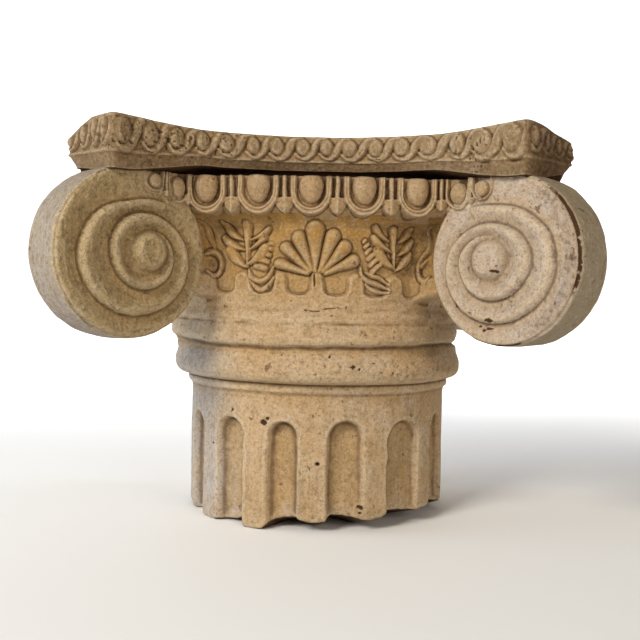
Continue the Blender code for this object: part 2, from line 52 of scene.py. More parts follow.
# Mouldings, as radius and height
PROFILE = (
    (0.1500, 0.0000), (0.1501, 0.1400), (0.1507, 0.1445), (0.1522, 0.1468), (0.1540, 0.1482), (0.1550, 0.1520),
    (0.1549, 0.1550), (0.1556, 0.1566), (0.1602, 0.1578), (0.1662, 0.1602), (0.1698, 0.1650), (0.1708, 0.1710),
    (0.1702, 0.1770), (0.1680, 0.1830), (0.1654, 0.1880), (0.1638, 0.1915), (0.1632, 0.1940), (0.1638, 0.1957),
    (0.1658, 0.1972), (0.1690, 0.1992), (0.1706, 0.2028), (0.1710, 0.2070), (0.1700, 0.2130), (0.1688, 0.2180),
    (0.1686, 0.2200), (0.1684, 0.2225), (0.1680, 0.2270), (0.1676, 0.2400), (0.1676, 0.2700),
)
SHAFT_RADIUS = 0.150
DRUM_TOP = 0.2270
DRUM_ROWS = 190
SEAM = 0.0030
# Radius at which the noise of the drum is read, and a factor that keeps it the same all the way up
SPOT_RADIUS = 0.16
LEVEL = np.array([1.0, 1.0, 0.0])
NECK_RADIUS = 0.1630
COLLAR_PROUD = 0.0046
WEB_BOTTOM = 0.2480
WEB_HALF = 0.0155
WEB_REACH = 0.2000
WEB_FILLET = 0.0150
WEB_CENTRE = math.sqrt((NECK_RADIUS + WEB_FILLET)**2 - (WEB_HALF + WEB_FILLET)**2)
NECK_TOP = 0.3310
ECHINUS_LOW = 0.3255
ECHINUS_LIP = 0.3680
ECHINUS_HIGH = 0.3790
RECESS_MIDDLE = 0.0340
RECESS_CORNER = 0.0100

# Flutes in front: angle of the middle, half width in degrees, height of the arch's top
FRONT_FLUTES = ((-62.9, 6.4, 0.1160), (-37.8, 7.1, 0.1172), (-12.8, 6.4, 0.1170), (12.9, 7.5, 0.1192),
                (40.2, 8.6, 0.1172), (67.4, 8.6, 0.1195))
BACK_FLUTES = tuple((90.0 + 25.71 * n, 6.8, 0.1180) for n in range(8))
FLUTE_DEPTH = 0.0108

# Broken lower edge: angle, height
BREAK = ((-110, 0.0), (-90, 0.003), (-76, 0.0056), (-67, 0.0005), (-50, 0.0), (-38, 0.004), (-33, 0.0072),
         (-30.5, 0.0012), (-25.8, 0.0), (-21.5, 0.0022), (-18, 0.0100), (-13, 0.0140), (-6.6, 0.0146), (0, 0.0110),
         (5, 0.0132), (8, 0.0180), (13, 0.0178), (19, 0.0135), (23, 0.0120), (29, 0.0140), (34, 0.0195),
         (46, 0.0150), (58, 0.0172), (60.5, 0.0212), (76, 0.0118), (90, 0.004), (110, 0.0))
BREAK_RUN = 3.3


# Numbers
def smooth(low, high, x):
    """Smooth step from 0 at low to 1 at high. Low may be the greater of the two."""
    t = np.clip((x - low) / (high - low), 0.0, 1.0)
    return t * t * (3.0 - 2.0 * t)


def band(x, low, full, fade, high):
    """Rises from 0 to 1 between low and full, and falls again between fade and high."""
    return smooth(low, full, x) * smooth(high, fade, x)


def bell(x, width):
    return np.exp(-(x / width)**2)


def most(*layers):
    """The strongest of several layers at each point."""
    return reduce(np.maximum, layers)


def lattice(ix, iy, iz, seed):
    h = (ix * 374761393 + iy * 668265263 + iz * 1103515245 + seed * 974634777) & 0xFFFFFFFF
    h = ((h ^ (h >> 13)) * 1274126177) & 0xFFFFFFFF
    h = h ^ (h >> 16)
    return (h & 0xFFFFFF) / float(0xFFFFFF)


def noise(p, size, seed):
    """Smooth noise from -1 to 1 with lumps of about the given size."""
    q = np.asarray(p) / size + 1000.0
    cell = np.floor(q).astype(np.int64)
    f = q - cell
    f = f * f * (3.0 - 2.0 * f)
    total = np.zeros(q.shape[:-1])
    for dx in (0, 1):
        wx = f[..., 0] if dx else 1.0 - f[..., 0]
        for dy in (0, 1):
            wy = f[..., 1] if dy else 1.0 - f[..., 1]
            for dz in (0, 1):
                wz = f[..., 2] if dz else 1.0 - f[..., 2]
                total += wx * wy * wz * lattice(cell[..., 0] + dx, cell[..., 1] + dy, cell[..., 2] + dz, seed)
    return total * 2.0 - 1.0


def blur(a, rows, cols, wrap):
    """Box blur over a grid, by so many cells each way."""
    for axis, reach in ((0, rows), (1, cols)):
        if reach < 1:
            continue
        mode = "wrap" if (wrap and axis == 1) else "edge"
        pad = [(0, 0)] * a.ndim
        pad[axis] = (reach, reach)
        b = np.pad(a, pad, mode=mode)
        c = np.cumsum(b, axis=axis)
        zero = np.zeros_like(np.take(c, [0], axis=axis))
        c = np.concatenate([zero, c], axis=axis)
        n = a.shape[axis]
        width = 2 * reach + 1
        a = (np.take(c, np.arange(n) + width, axis=axis) - np.take(c, np.arange(n), axis=axis)) / width
    return a


def normals_of(p, outward):
    du = np.gradient(p, axis=1)
    dv = np.gradient(p, axis=0)
    n = np.cross(du, dv)
    n /= np.maximum(np.linalg.norm(n, axis=-1, keepdims=True), 1e-12)
    if np.sum(n * outward) < 0:
        n = -n
    return n


def marks_of(p, outward, fine, broad, wash_and_cool_light, dirt_and_shade, spaced=False):
    """Four values for the paint. The first two say how far a point stands out of its surroundings, close by and
    broadly, as a share of 10 mm with 0.5 as level. Then come how faded and grey the paint is, which on the drum is
    painted cool light, and how much grime and painted shade lies on it.
    In a spaced grid the wider columns count for less."""
    n = normals_of(p, outward)
    scale = 100.0
    if spaced:
        step = np.median(np.linalg.norm(np.roll(p, -1, 1) - np.roll(p, 1, 1), axis=-1), axis=0)
        scale = 100.0 / np.clip(step / np.median(step), 1.0, 6.0)**1.5
    near, wide = (np.sum((p - blur(p, *reach, True)) * n, axis=-1) * scale + 0.5 for reach in (fine, broad))
    return np.stack(np.broadcast_arrays(near, wide, wash_and_cool_light, dirt_and_shade), axis=-1)


def table(pairs, x):
    """Straight lines through pairs of place and value."""
    return np.interp(x, *np.transpose(pairs))


def curve_through(points, steps):
    """Catmull-Rom curve through points of any dimension."""
    p = np.asarray(points, float)
    ext = np.vstack([2 * p[0] - p[1], p, 2 * p[-1] - p[-2]])
    out = []
    for k in range(len(p) - 1):
        a, b, c, d = ext[k:k + 4]
        t = np.linspace(0, 1, steps, endpoint=False)[:, None]
        out.append(0.5 * (2 * b + (c - a) * t + (2 * a - 5 * b + 4 * c - d) * t**2 + (3 * b - a - 3 * c + d) * t**3))
    out.append(p[-1:])
    return np.vstack(out)


# Meshes
class Skin:
    """A mesh gathered from sheets that close round the axis, strips between rings, and fans."""

    def __init__(self):
        self.points = []
        self.marks = []
        self.quads = []
        self.tris = []
        self.count = 0

    def sheet(self, p, marks):
        rows, cols = p.shape[:2]
        index = self.count + np.arange(rows * cols).reshape(rows, cols)
        self.points.append(p.reshape(-1, 3))
        self.marks.append(marks.reshape(-1, 4))
        self.count += rows * cols
        grid = np.concatenate([index, index[:, :1]], axis=1)
        self.quads.append(np.stack([grid[:-1, :-1], grid[:-1, 1:], grid[1:, 1:], grid[1:, :-1]], -1).reshape(-1, 4))
        return index

    def stitch(self, ring_a, ring_b):
        a = np.append(ring_a, ring_a[0])
        b = np.append(ring_b, ring_b[0])
        self.quads.append(np.stack([a[:-1], a[1:], b[1:], b[:-1]], -1))

    def cap(self, ring, centre):
        self.points.append(np.array([centre], float))
        self.marks.append(np.array([[0.5, 0.5, 0.0, 0.0]]))
        hub = self.count
        self.count += 1
        nxt = np.roll(ring, -1)
        self.tris.append(np.stack([ring, nxt, np.full_like(ring, hub)], -1))

    def build(self, name, material):
        points = np.vstack(self.points)
        marks = np.vstack(self.marks)
        quads = np.vstack(self.quads)
        tris = np.vstack(self.tris)
        mesh = bpy.data.meshes.new(name)
        mesh.vertices.add(len(points))
        mesh.vertices.foreach_set("co", points.astype(np.float32).ravel())
        loops = np.concatenate([quads.ravel(), tris.ravel()]).astype(np.int32)
        sizes = np.concatenate([np.full(len(quads), 4), np.full(len(tris), 3)])
        starts = np.concatenate([[0], np.cumsum(sizes)[:-1]]).astype(np.int32)
        mesh.loops.add(len(loops))
        mesh.loops.foreach_set("vertex_index", loops)
        mesh.polygons.add(len(sizes))
        mesh.polygons.foreach_set("loop_start", starts)
        mesh.update(calc_edges=True)
        mesh.validate()
        work = bmesh.new()
        work.from_mesh(mesh)
        bmesh.ops.recalc_face_normals(work, faces=work.faces)
        work.to_mesh(mesh)
        work.free()
        mesh.polygons.foreach_set("use_smooth", np.ones(len(mesh.polygons), bool))
        layer = mesh.attributes.new("marks", "FLOAT_COLOR", "POINT")
        colour = np.clip(marks, 0.0, 1.0).astype(np.float32)
        layer.data.foreach_set("color", colour.ravel())
        mesh.update()
        made = bpy.data.objects.new(name, mesh)
        bpy.context.scene.collection.objects.link(made)
        made.data.materials.append(material)
        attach(made, "root")
        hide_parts("ionic_capital")
        print(name, len(quads) * 2 + len(tris), "triangles")


def closed(name, material, p, out, broad, wash_and_cool_light, dirt_and_shade, first, last):
    """A piece made of one sheet, closed at both ends by fans round the axis at the given heights."""
    skin = Skin()
    grid = skin.sheet(p, marks_of(p, out, (3, 3), broad, wash_and_cool_light, dirt_and_shade, True))
    skin.cap(grid[0], (0, 0, first))
    skin.cap(grid[-1], (0, 0, last))
    skin.build(name, material)


# Carving on a sheet
PETAL_BEND = -0.09
# Share of its width that a strand of one width keeps at its ends
BLUNT = 0.85


class Relief:
    """Ornament laid on a sheet with coordinates u, across, and v, up, in metres."""

    def __init__(self, u, v):
        self.u = u
        self.v = v
        self.height = np.zeros_like(u)
        self.gap = np.full_like(u, 1.0)

    def window(self, u0, u1, v0, v1, margin):
        return np.nonzero((self.u > u0 - margin) & (self.u < u1 + margin)
                          & (self.v > v0 - margin) & (self.v < v1 + margin))

    def lay(self, where, d, width, rise, power):
        h = rise * np.clip(1.0 - np.clip(d, 0, 1)**power, 0.0, 1.0)**0.5
        h = np.where(d < 1.0, h, 0.0)
        self.height[where] = np.maximum(self.height[where], h)
        self.gap[where] = np.minimum(self.gap[where], np.maximum(d - 1.0, 0.0) * width)

    def aim(self, foot, tip, width):
        """The points round a lobe, its length, and how far each point lies along it and to its side."""
        fu, fv = foot
        tu, tv = tip
        length = math.hypot(tu - fu, tv - fv)
        du, dv = (tu - fu) / length, (tv - fv) / length
        w = self.window(min(fu, tu), max(fu, tu), min(fv, tv), max(fv, tv), width + 0.004)
        u = self.u[w] - fu
        v = self.v[w] - fv
        return w, length, u * du + v * dv, v * du - u * dv

    def club(self, foot, tip, foot_width, width, rise, power, belly, foot_rise):
        """A lobe from its foot to its rounded tip."""
        w, length, far, side = self.aim(foot, tip, width)
        run = length - width
        share = np.clip(far / run, 0.0, 1.0)
        wide = foot_width + (width - foot_width) * share**belly
        d = np.hypot(far - share * run, side) / wide
        self.lay(w, d, wide, rise * (foot_rise + (1 - foot_rise) * share), power)

    def strand(self, points, width, rise, power=2.0):
        """A rope along a curve. The width is one number, thinned a little at the ends, or one for each point."""
        line = curve_through(points, 8)
        share = np.linspace(0, 1, len(line))
        if np.ndim(width):
            wide = np.interp(share, np.linspace(0, 1, len(width)), width)
        else:
            wide = width * (BLUNT + (1 - BLUNT) * smooth(0, 0.5, np.minimum(share, 1 - share)))
        widest = wide.max()
        w = self.window(line[:, 0].min(), line[:, 0].max(), line[:, 1].min(), line[:, 1].max(), widest + 0.004)
        u = self.u[w]
        v = self.v[w]
        best = np.full_like(u, 1e3)
        for k in range(len(line) - 1):
            a = line[k]
            seg = line[k + 1] - a
            t = np.clip(((u - a[0]) * seg[0] + (v - a[1]) * seg[1]) / (seg @ seg), 0, 1)
            here = wide[k] + (wide[k + 1] - wide[k]) * t
            best = np.minimum(best, np.hypot(u - a[0] - t * seg[0], v - a[1] - t * seg[1]) / here)
        self.lay(w, best, widest, rise, power)

    def leaf(self, foot, tip, width, rise):
        """A pointed leaf, widest near two thirds of its length, with a faint middle rib."""
        w, length, far, side = self.aim(foot, tip, width)
        along = far / length
        share = np.clip(along, 0.0, 1.0)
        wide = width * (0.30 + 0.70 * np.sin(np.clip(share * 0.80, 0, 1) * math.pi)**0.8)
        past = np.maximum(np.maximum(-along, along - 1.0 + width / length * 0.8), 0.0) * length
        d = np.hypot(side / wide, past / (width * 0.8))
        rib = 1.0 - 0.12 * bell(side, 0.0008)
        self.lay(w, d, width, rise * (0.65 + 0.35 * share) * rib, 2.0)

    def petal(self, foot, tip, width, rise):
        """A lobe that bends upwards on its way out, thin at the foot, full and blunt near the tip."""
        foot = np.array(foot)
        run = np.array(tip) - foot
        across = np.array([-run[1], run[0]]) * (-1 if run[0] > 0 else 1)
        curve = [foot + run * t - across * 4 * PETAL_BEND * t * (1 - t) for t in (0.0, 0.25, 0.5, 0.72, 0.86)]
        self.strand(curve, np.array((0.22, 0.60, 0.96, 1.10, 0.84)) * width, rise)

    def oval(self, centre, half_width, half_height, rise, lean, power):
        cu, cv = centre
        reach = max(half_width, half_height)
        w = self.window(cu, cu, cv, cv, reach + 0.004)
        u = self.u[w] - cu
        v = self.v[w] - cv
        c, s = math.cos(lean), math.sin(lean)
        d = np.hypot((u * c - v * s) / half_width, (u * s + v * c) / half_height)
        self.lay(w, d, min(half_width, half_height), rise, power)


# Plan curves of one face
class Plan:
    """A plan curve of the front face, symmetrical about X = 0, read by distance along it."""

    def __init__(self, half):
        left = [(-x, y) for x, y in reversed(half[1:])]
        p = np.array(left + list(half))
        run = np.concatenate([[0], np.cumsum(np.hypot(*np.diff(p, axis=0).T))])
        self.end = run[-1] / 2
        self.l = run - self.end
        self.p = p
        t = np.gradient(p, self.l, axis=0)
        t /= np.linalg.norm(t, axis=1, keepdims=True)
        self.n = np.stack([t[:, 1], -t[:, 0]], -1)

    def at(self, l):
        x = np.interp(l, self.l, self.p[:, 0])
        y = np.interp(l, self.l, self.p[:, 1])
        nx = np.interp(l, self.l, self.n[:, 0])
        ny = np.interp(l, self.l, self.n[:, 1])
        size = np.hypot(nx, ny)
        return np.stack([x, y], -1), np.stack([nx / size, ny / size], -1)

    def where_x(self, x):
        return float(np.interp(x, self.p[:, 0], self.l))


def neck_half():
    """The neck's plan from the middle of the front to the end of the right web."""
    from_diagonal = math.atan2(WEB_HALF + WEB_FILLET, WEB_CENTRE)
    half = []
    for a in np.linspace(0, math.pi / 4 - from_diagonal, 60):
        half.append((NECK_RADIUS * math.sin(a), -NECK_RADIUS * math.cos(a)))
    for a in np.linspace(from_diagonal, math.pi / 2, 24)[1:]:
        s = WEB_CENTRE - WEB_FILLET * math.cos(a)
        t = WEB_HALF + WEB_FILLET - WEB_FILLET * math.sin(a)
        half.append((HALF * (s - t), -HALF * (s + t)))
    for s in np.linspace(WEB_CENTRE, WEB_REACH, 8)[1:]:
        half.append((HALF * (s - WEB_HALF), -HALF * (s + WEB_HALF)))
    return half


def echinus_half():
    knots = ((0.0, 0.1745), (0.030, 0.1744), (0.056, 0.1735), (0.078, 0.1708), (0.096, 0.1668), (0.110, 0.1650),
             (0.1215, 0.1660), (0.133, 0.1690), (0.1461, 0.1779), (0.160, 0.1918), (0.1750, 0.2068))
    line = curve_through(knots, 10)
    return [(x, -y) for x, y in line]


NECK = Plan(neck_half())
ECHINUS = Plan(echinus_half())


def matching_runs():
    """Places along the neck's plan, and the places on the echinus above them."""
    angles = np.linspace(-34.0, 34.0, 61)
    e_angle = np.degrees(np.arctan2(ECHINUS.p[:, 0], -ECHINUS.p[:, 1]))
    order = np.abs(e_angle) < 38.5
    e_l = np.interp(angles, e_angle[order], ECHINUS.l[order])
    n_l = np.radians(angles) * NECK_RADIUS
    n_l = np.concatenate([[-NECK.end], n_l, [NECK.end]])
    e_l = np.concatenate([[-ECHINUS.end], e_l, [ECHINUS.end]])
    return n_l, e_l


NECK_RUN, ECHINUS_RUN = matching_runs()


def flare(z):
    """Share of the way from the neck's plan to the echinus's plan."""
    return smooth(0.3150, 0.3400, z)**1.3


def turn_quarter(p, quarter):
    q = p.copy()
    for _ in range(quarter):
        q = np.stack([-q[..., 1], q[..., 0], q[..., 2]], -1)
    return q


DRUM_CURVE = curve_through(PROFILE[1:], 9)

# Pits in the drum: angle, height, size, depth
PITS = ((-21.0, 0.1150, 0.0036, 0.0026), (-19.5, 0.1185, 0.0026, 0.0020), (1.5, 0.0735, 0.0022, 0.0035),
        (20.2, 0.0265, 0.0024, 0.0035), (20.0, 0.0205, 0.0016, 0.0020), (-36.5, 0.1245, 0.0018, 0.0014),
        (13.0, 0.1765, 0.0024, 0.0012), (15.4, 0.1745, 0.0013, 0.0010), (-57.0, 0.0230, 0.0018, 0.0020),
        (-62.0, 0.0240, 0.0014, 0.0020), (-48.0, 0.0850, 0.0014, 0.0015), (5.0, 0.1865, 0.0016, 0.0012))


# The drum: stub, torus, collar
def folds(deg, z):
    """Rolled and dragged plaster of the collar, shared by the drum and the neck."""
    a = np.radians(deg)
    long_way = np.stack([np.sin(a) * 0.050, np.cos(a) * 0.050, z], -1)
    short = np.stack([np.sin(a) * SPOT_RADIUS, np.cos(a) * SPOT_RADIUS, z], -1)
    on = band(z, 0.199, 0.204, 0.244, 0.262)
    wave = 0.0012 * noise(short * LEVEL, 0.06, 71)
    line = bell(z - 0.2196 - wave, 0.0022) + 0.8 * bell(z - 0.2345 + wave, 0.0024)
    roll = 0.0011 * noise(long_way, 0.0100, 72) + 0.0005 * noise(long_way, 0.0040, 73)
    lump = 0.0007 * noise(short, 0.028, 74) + 0.0003 * noise(short, 0.007, 75)
    swell = 0.0009 * band(z, 0.2210, 0.2250, 0.2280, 0.2330)
    # Uneven hand work: the lip is slighter on the right and fuller on the left
    uneven = 0.0064 * bell(deg + 95.0, 26.0) - 0.0090 * bell(deg - 95.0, 28.0)
    uneven = uneven * band(z, 0.192, 0.199, 0.226, 0.246)
    return on * (roll - 0.0008 * line * (0.7 + 0.5 * noise(short, 0.05, 76)) + swell * 0.6) + lump + uneven


def drum(material):
    """The fluted stub with its broken edge, the torus and the lower half of the collar."""
    profile = curve_through(PROFILE[:2], 90)
    profile = np.vstack([profile[:-1], DRUM_CURVE])
    run = np.concatenate([[0], np.cumsum(np.hypot(*np.diff(profile, axis=0).T))])
    z_all = profile[:, 1]
    last = np.interp(DRUM_TOP + SEAM, z_all, run)
    s = np.linspace(0, last, DRUM_ROWS)
    r0 = np.interp(s, run, profile[:, 0])
    z0 = np.interp(s, run, z_all)
    front = np.radians(np.linspace(-95, 95, 330))
    back = np.radians(np.linspace(95, 265, 120)[1:-1])
    angle = np.concatenate([front, back])
    a, r = np.meshgrid(angle, r0)
    _, z = np.meshgrid(angle, z0)
    deg = np.degrees(a)
    deg = np.where(deg > 180, deg - 360, deg)
    spot = np.stack([np.sin(a) * SPOT_RADIUS, -np.cos(a) * SPOT_RADIUS, z], -1)
    flat = spot * LEVEL
    # Wavering lip and lines of the hand-finished collar
    sway = 0.0015 * noise(flat, 0.055, 3) + 0.0008 * noise(flat, 0.018, 4)
    sway = sway + 0.0030 * band(np.abs(deg), 10.0, 60.0, 80.0, 120.0) - 0.0012
    z = z + sway * band(z, 0.186, 0.196, 0.2100, 0.2270)
    z = z + 0.0007 * noise(flat, 0.07, 5) * band(z, 0.13, 0.150, 0.17, 0.185)
    r = r + 0.0010 * noise(spot * np.array([1, 1, 0.6]), 0.050, 6) * band(z, 0.0, 0.02, 0.195, 0.205)
    r = r + folds(deg, z) - 0.00012 * smooth(DRUM_TOP, DRUM_TOP + SEAM, z)
    r = r - 0.0030 * bell(deg - 95.0, 28.0) * band(z, 0.150, 0.158, 0.184, 0.192)
    r = r + 0.0060 * bell(deg + 95.0, 24.0) * band(z, 0.183, 0.191, 0.194, 0.201)
    # Flutes
    depth = np.zeros_like(r)
    for middle, half, top in FRONT_FLUTES + BACK_FLUTES:
        edge = half * (1.02 + 0.05 * noise(spot * np.array([0, 0, 1.0]) + middle, 0.02, 9))
        off = (deg - middle + 180.0) % 360.0 - 180.0
        half_m = math.radians(half) * SHAFT_RADIUS
        up = np.maximum(z - (top - half_m * 1.05), 0.0) / (half_m * 1.05)
        q = np.hypot(off / edge, up)
        deep = FLUTE_DEPTH * (1 + 0.12 * noise(spot, 0.03, 10))
        well = deep * np.clip(1 - np.clip(q, 0, 1)**3.4, 0, 1)**0.55
        depth = np.maximum(depth, np.where(q < 1, well, 0))
    r = r - depth
    # Pits and chips
    hole = np.zeros_like(r)
    for pa, pz, size, deep in PITS:
        gap = np.hypot((deg - pa) * math.radians(1) * SHAFT_RADIUS, z - pz)
        pit = smooth(1.0, 0.55, gap / size * (1 + 0.45 * noise(spot, 0.003, 11)))
        hole = np.maximum(hole, pit)
        r = r - deep * pit
    worn = smooth(0.10, 0.6, noise(spot, 0.0030, 12)) * band(deg, -24, 0, 30, 52)
    worn = worn * band(z, 0.160, 0.166, 0.180, 0.187)
    r = r - 0.0009 * worn
    # Broken lower edge
    jag = table(BREAK, deg) + 0.0008 * noise(flat, 0.010, 13) + 0.0005 * noise(flat, 0.005, 14)
    jag = np.maximum(jag, 0.0006)
    r = r - np.maximum(jag - z, 0.0) * BREAK_RUN
    r = r - 0.0012 * smooth(0.0035, 0.0, z - jag)
    p = np.stack([r * np.sin(a), -r * np.cos(a), z], -1)
    # Painted cool light on the left of the stub, as a paler bluish grey that fades out above the torus
    wash_and_cool_light = smooth(-0.070, -0.135, p[..., 0] + 0.02 * noise(spot, 0.04, 15)) * smooth(0.05, 0.02, p[..., 1])
    wash_and_cool_light = wash_and_cool_light * (1 - 0.75 * smooth(0.196, 0.206, z))
    rubbed = band(deg, -24, -8, 32, 48) * band(z, 0.162, 0.167, 0.178, 0.184)
    # Painted shade on top of the torus, and a painted shadow of the left volute over the left of the torus and collar
    top = band(z, 0.181, 0.187, 0.193, 0.199)
    left = smooth(-0.112, -0.145, p[..., 0]) * band(z, 0.152, 0.160, 0.215, 0.232)
    dirt_and_shade = most(0.75 * hole, 0.60 * smooth(0.0014, -0.001, z - jag), 0.06 * rubbed, 0.12 * top, 0.13 * left,
                0.55 * worn * smooth(0.2, 0.6, noise(spot, 0.0022, 16)))
    out = np.stack([np.sin(a), -np.cos(a), 0 * a], -1)
    closed("drum", material, p, out, (12, 12), wash_and_cool_light, dirt_and_shade, 0.0, DRUM_TOP + SEAM)


# The neck
POCKETS = (-0.1038, -0.0570, -0.0191, 0.0194, 0.0606, 0.1050)
POCKET_LOW = (0.2488, 0.2500, 0.2488, 0.2480, 0.2468, 0.2462)
SCALLOP = (
    ((-0.0100, 0.2712), (-0.0446, 0.2822), 0.0056), ((-0.0085, 0.2732), (-0.0374, 0.3012), 0.0066),
    ((-0.0058, 0.2745), (-0.0226, 0.3138), 0.0077), ((-0.0026, 0.2748), (-0.0030, 0.3250), 0.0100),
    ((0.0022, 0.2745), (0.0181, 0.3166), 0.0083), ((0.0052, 0.2732), (0.0324, 0.3036), 0.0077),
    ((0.0080, 0.2714), (0.0428, 0.2880), 0.0068),
)
LEFT_SPRIG = (
    ((-0.0757, 0.2770), (-0.0763, 0.3248), 0.0058), ((-0.0810, 0.3045), (-0.1062, 0.3245), 0.0048),
    ((-0.0800, 0.2950), (-0.1090, 0.3105), 0.0047), ((-0.0770, 0.2765), (-0.1005, 0.2998), 0.0062),
    ((-0.0718, 0.3050), (-0.0495, 0.3195), 0.0034), ((-0.0730, 0.2955), (-0.0540, 0.3120), 0.0036),
    ((-0.0745, 0.2795), (-0.0530, 0.3005), 0.0056),
)
RIGHT_SPRIG = (
    ((0.0829, 0.2780), (0.0796, 0.3222), 0.0054), ((0.0760, 0.3060), (0.0566, 0.3235), 0.0036),
    ((0.0790, 0.2950), (0.0556, 0.3128), 0.0042), ((0.0822, 0.2790), (0.0605, 0.2990), 0.0058),
    ((0.0872, 0.3050), (0.1025, 0.3215), 0.0042), ((0.0868, 0.2920), (0.1058, 0.3110), 0.0040),
    ((0.0846, 0.2766), (0.1032, 0.2970), 0.0052),
)


def turret(relief, tip, foot, width, whorls, rise):
    """A leaning spiral shell: whorls that widen towards its foot."""
    tip = np.array(tip)
    foot = np.array(foot)
    axis = foot - tip
    length = np.linalg.norm(axis)
    axis /= length
    side = np.array([-axis[1], axis[0]])
    for k in range(whorls):
        share = (k + 0.5) / whorls
        half = width * (0.22 + 0.78 * share)
        middle = tip + axis * length * share**1.15
        a = middle - side * half * 0.72 + axis * 0.30 * half
        b = middle + side * half * 0.72 - axis * 0.10 * half
        thick = length / whorls * (0.36 + 0.22 * share)
        relief.strand((a, middle, b), thick, rise * (0.55 + 0.45 * share))


def neck_relief(u, v):
    relief = Relief(u, v)
    for foot, tip, width in SCALLOP:
        relief.club(foot, tip, 0.0022, width * 0.97, 0.0086, 2.1, 0.95, 0.58)
    for foot, tip, width in LEFT_SPRIG[:1] + RIGHT_SPRIG[:1]:
        relief.club(foot, tip, 0.0014, width * 0.92, 0.0060, 2.0, 1.4, 0.60)
    for foot, tip, width in LEFT_SPRIG[1:] + RIGHT_SPRIG[1:]:
        relief.petal(foot, tip, width * 0.98, 0.0056)
    turret(relief, (0.0474, 0.3070), (0.0625, 0.2760), 0.0078, 6, 0.0050)
    turret(relief, (-0.0478, 0.3030), (-0.0612, 0.2740), 0.0080, 5, 0.0048)
    # Curved strands that hang in the two pockets beside the scallop
    hang = (0.0012, 0.0024, 0.0028, 0.0024, 0.0012)
    relief.strand(((-0.0740, 0.2735), (-0.0690, 0.2655), (-0.0590, 0.2625), (-0.0500, 0.2680), (-0.0452, 0.2770)),
                  hang, 0.0044)
    relief.strand(((-0.0705, 0.2625), (-0.0645, 0.2555), (-0.0575, 0.2535), (-0.0500, 0.2590), (-0.0453, 0.2665)),
                  hang, 0.0034)
    relief.strand(((0.0444, 0.2790), (0.0462, 0.2700), (0.0520, 0.2650), (0.0610, 0.2620), (0.0765, 0.2560)),
                  hang, 0.0042)
    relief.strand(((0.0500, 0.2740), (0.0570, 0.2705), (0.0650, 0.2680), (0.0765, 0.2610)),
                  (0.0010, 0.0020, 0.0022, 0.0010), 0.0036)
    relief.strand(((0.0490, 0.2620), (0.0570, 0.2555), (0.0670, 0.2530), (0.0755, 0.2535)),
                  (0.0010, 0.0020, 0.0020, 0.0010), 0.0028)
    # Slim leaf and open scroll by the left volute, and the scroll by the right one
    relief.leaf((-0.1180, 0.2960), (-0.1305, 0.3250), 0.0044, 0.0032)
    relief.strand(((-0.1290, 0.2905), (-0.1225, 0.2925), (-0.1150, 0.2905), (-0.1100, 0.2840), (-0.1098, 0.2755),
                   (-0.1140, 0.2690), (-0.1215, 0.2678), (-0.1280, 0.2720)),
                  (0.0022, 0.0032, 0.0034, 0.0032, 0.0030, 0.0028, 0.0026, 0.0018), 0.0046)
    relief.strand(((0.1225, 0.3230), (0.1275, 0.3100), (0.1268, 0.2990), (0.1200, 0.2925), (0.1148, 0.2850),
                   (0.1135, 0.2760), (0.1165, 0.2680), (0.1235, 0.2655), (0.1280, 0.2700)),
                  (0.0012, 0.0022, 0.0030, 0.0030, 0.0026, 0.0028, 0.0030, 0.0028, 0.0016), 0.0042)
    relief.strand(((0.1150, 0.2800), (0.1195, 0.2835), (0.1240, 0.2880)), (0.0020, 0.0024, 0.0014), 0.0034)
    return relief


def neck_front(u, z, uw, vw, spot, height):
    """Pockets, ornament, crack and scar. Gives the new height, and the grime and painted shade."""
    dirt_and_shade = np.zeros_like(u)
    for k, centre in enumerate(POCKETS):
        outer = abs(centre) > 0.09
        half = 0.0134 + 0.0018 * smooth(0.258, 0.270, vw)
        low = POCKET_LOW[k]
        across = (uw - centre) / half
        down = np.maximum(low + 0.0100 - vw, 0.0) / 0.0100
        inside = (np.abs(across)**2.6 + down**2.6)**(1 / 2.6)
        bowl = smooth(1.06, 0.74, inside) * (0.80 if outer else 1.0)
        floor = -0.0006
        height = height * (1 - bowl) + np.minimum(height, floor) * bowl
        height = height + 0.0006 * smooth(0.12, 0.0, np.abs(inside - 1.14)) * (vw < 0.266)
        # Painted shade along each pocket's rim, heaviest at its bottom
        rim = bell(inside - 0.93, 0.10) * smooth(0.272, 0.266, vw) * (0.5 if outer else 1.0)
        dirt_and_shade = np.maximum(dirt_and_shade, (0.20 + 0.22 * down) * rim * (0.8 + 0.5 * noise(spot, 0.006, 29)))
    relief = neck_relief(uw, vw)
    moat = 0.0010 * bell(relief.gap, 0.0012) * (relief.height <= 0)
    height = np.maximum(height - moat * (height < 0.004), relief.height)
    height = blur(height, 1, 1, False)
    hinge = np.abs(uw + 0.0030 + 0.0004 * noise(spot, 0.004, 26))
    crack = smooth(0.0011, 0.0004, hinge) * band(z, 0.2560, 0.2600, 0.2695, 0.2715)
    height = height - 0.0016 * crack
    bare = relief.height <= 0.0008
    # Painted shade round the edges of the ornament, and in the hollow inside the left scroll
    edge_shade = bell(relief.gap, 0.0022) * bare
    well = np.hypot(uw + 0.1215, vw - 0.2800) / 0.0075
    scar = table(((-0.020, 0.0), (-0.010, 0.0006), (0.0, -0.0008), (0.012, 0.0022), (0.030, 0.0040)), u)
    scar = np.abs(z - 0.2335 - scar + 0.0008 * noise(spot, 0.004, 27))
    scar = smooth(0.0012, 0.0003, scar) * band(u, -0.022, -0.012, 0.018, 0.034)
    scar = scar * smooth(-0.15, 0.15, noise(spot, 0.005, 28))
    height = height - 0.0008 * scar
    # Painted shade at the top right of the neck, under the right volute; the crack and the scar are dark
    dirt_and_shade = most(dirt_and_shade, 0.8 * crack, 0.24 * smooth(0.055, 0.095, u) * smooth(0.262, 0.275, z), 0.45 * scar,
                (0.36 + 0.26 * noise(spot, 0.012, 30)) * edge_shade, 0.24 * smooth(1.1, 0.5, well) * bare)
    return height, dirt_and_shade


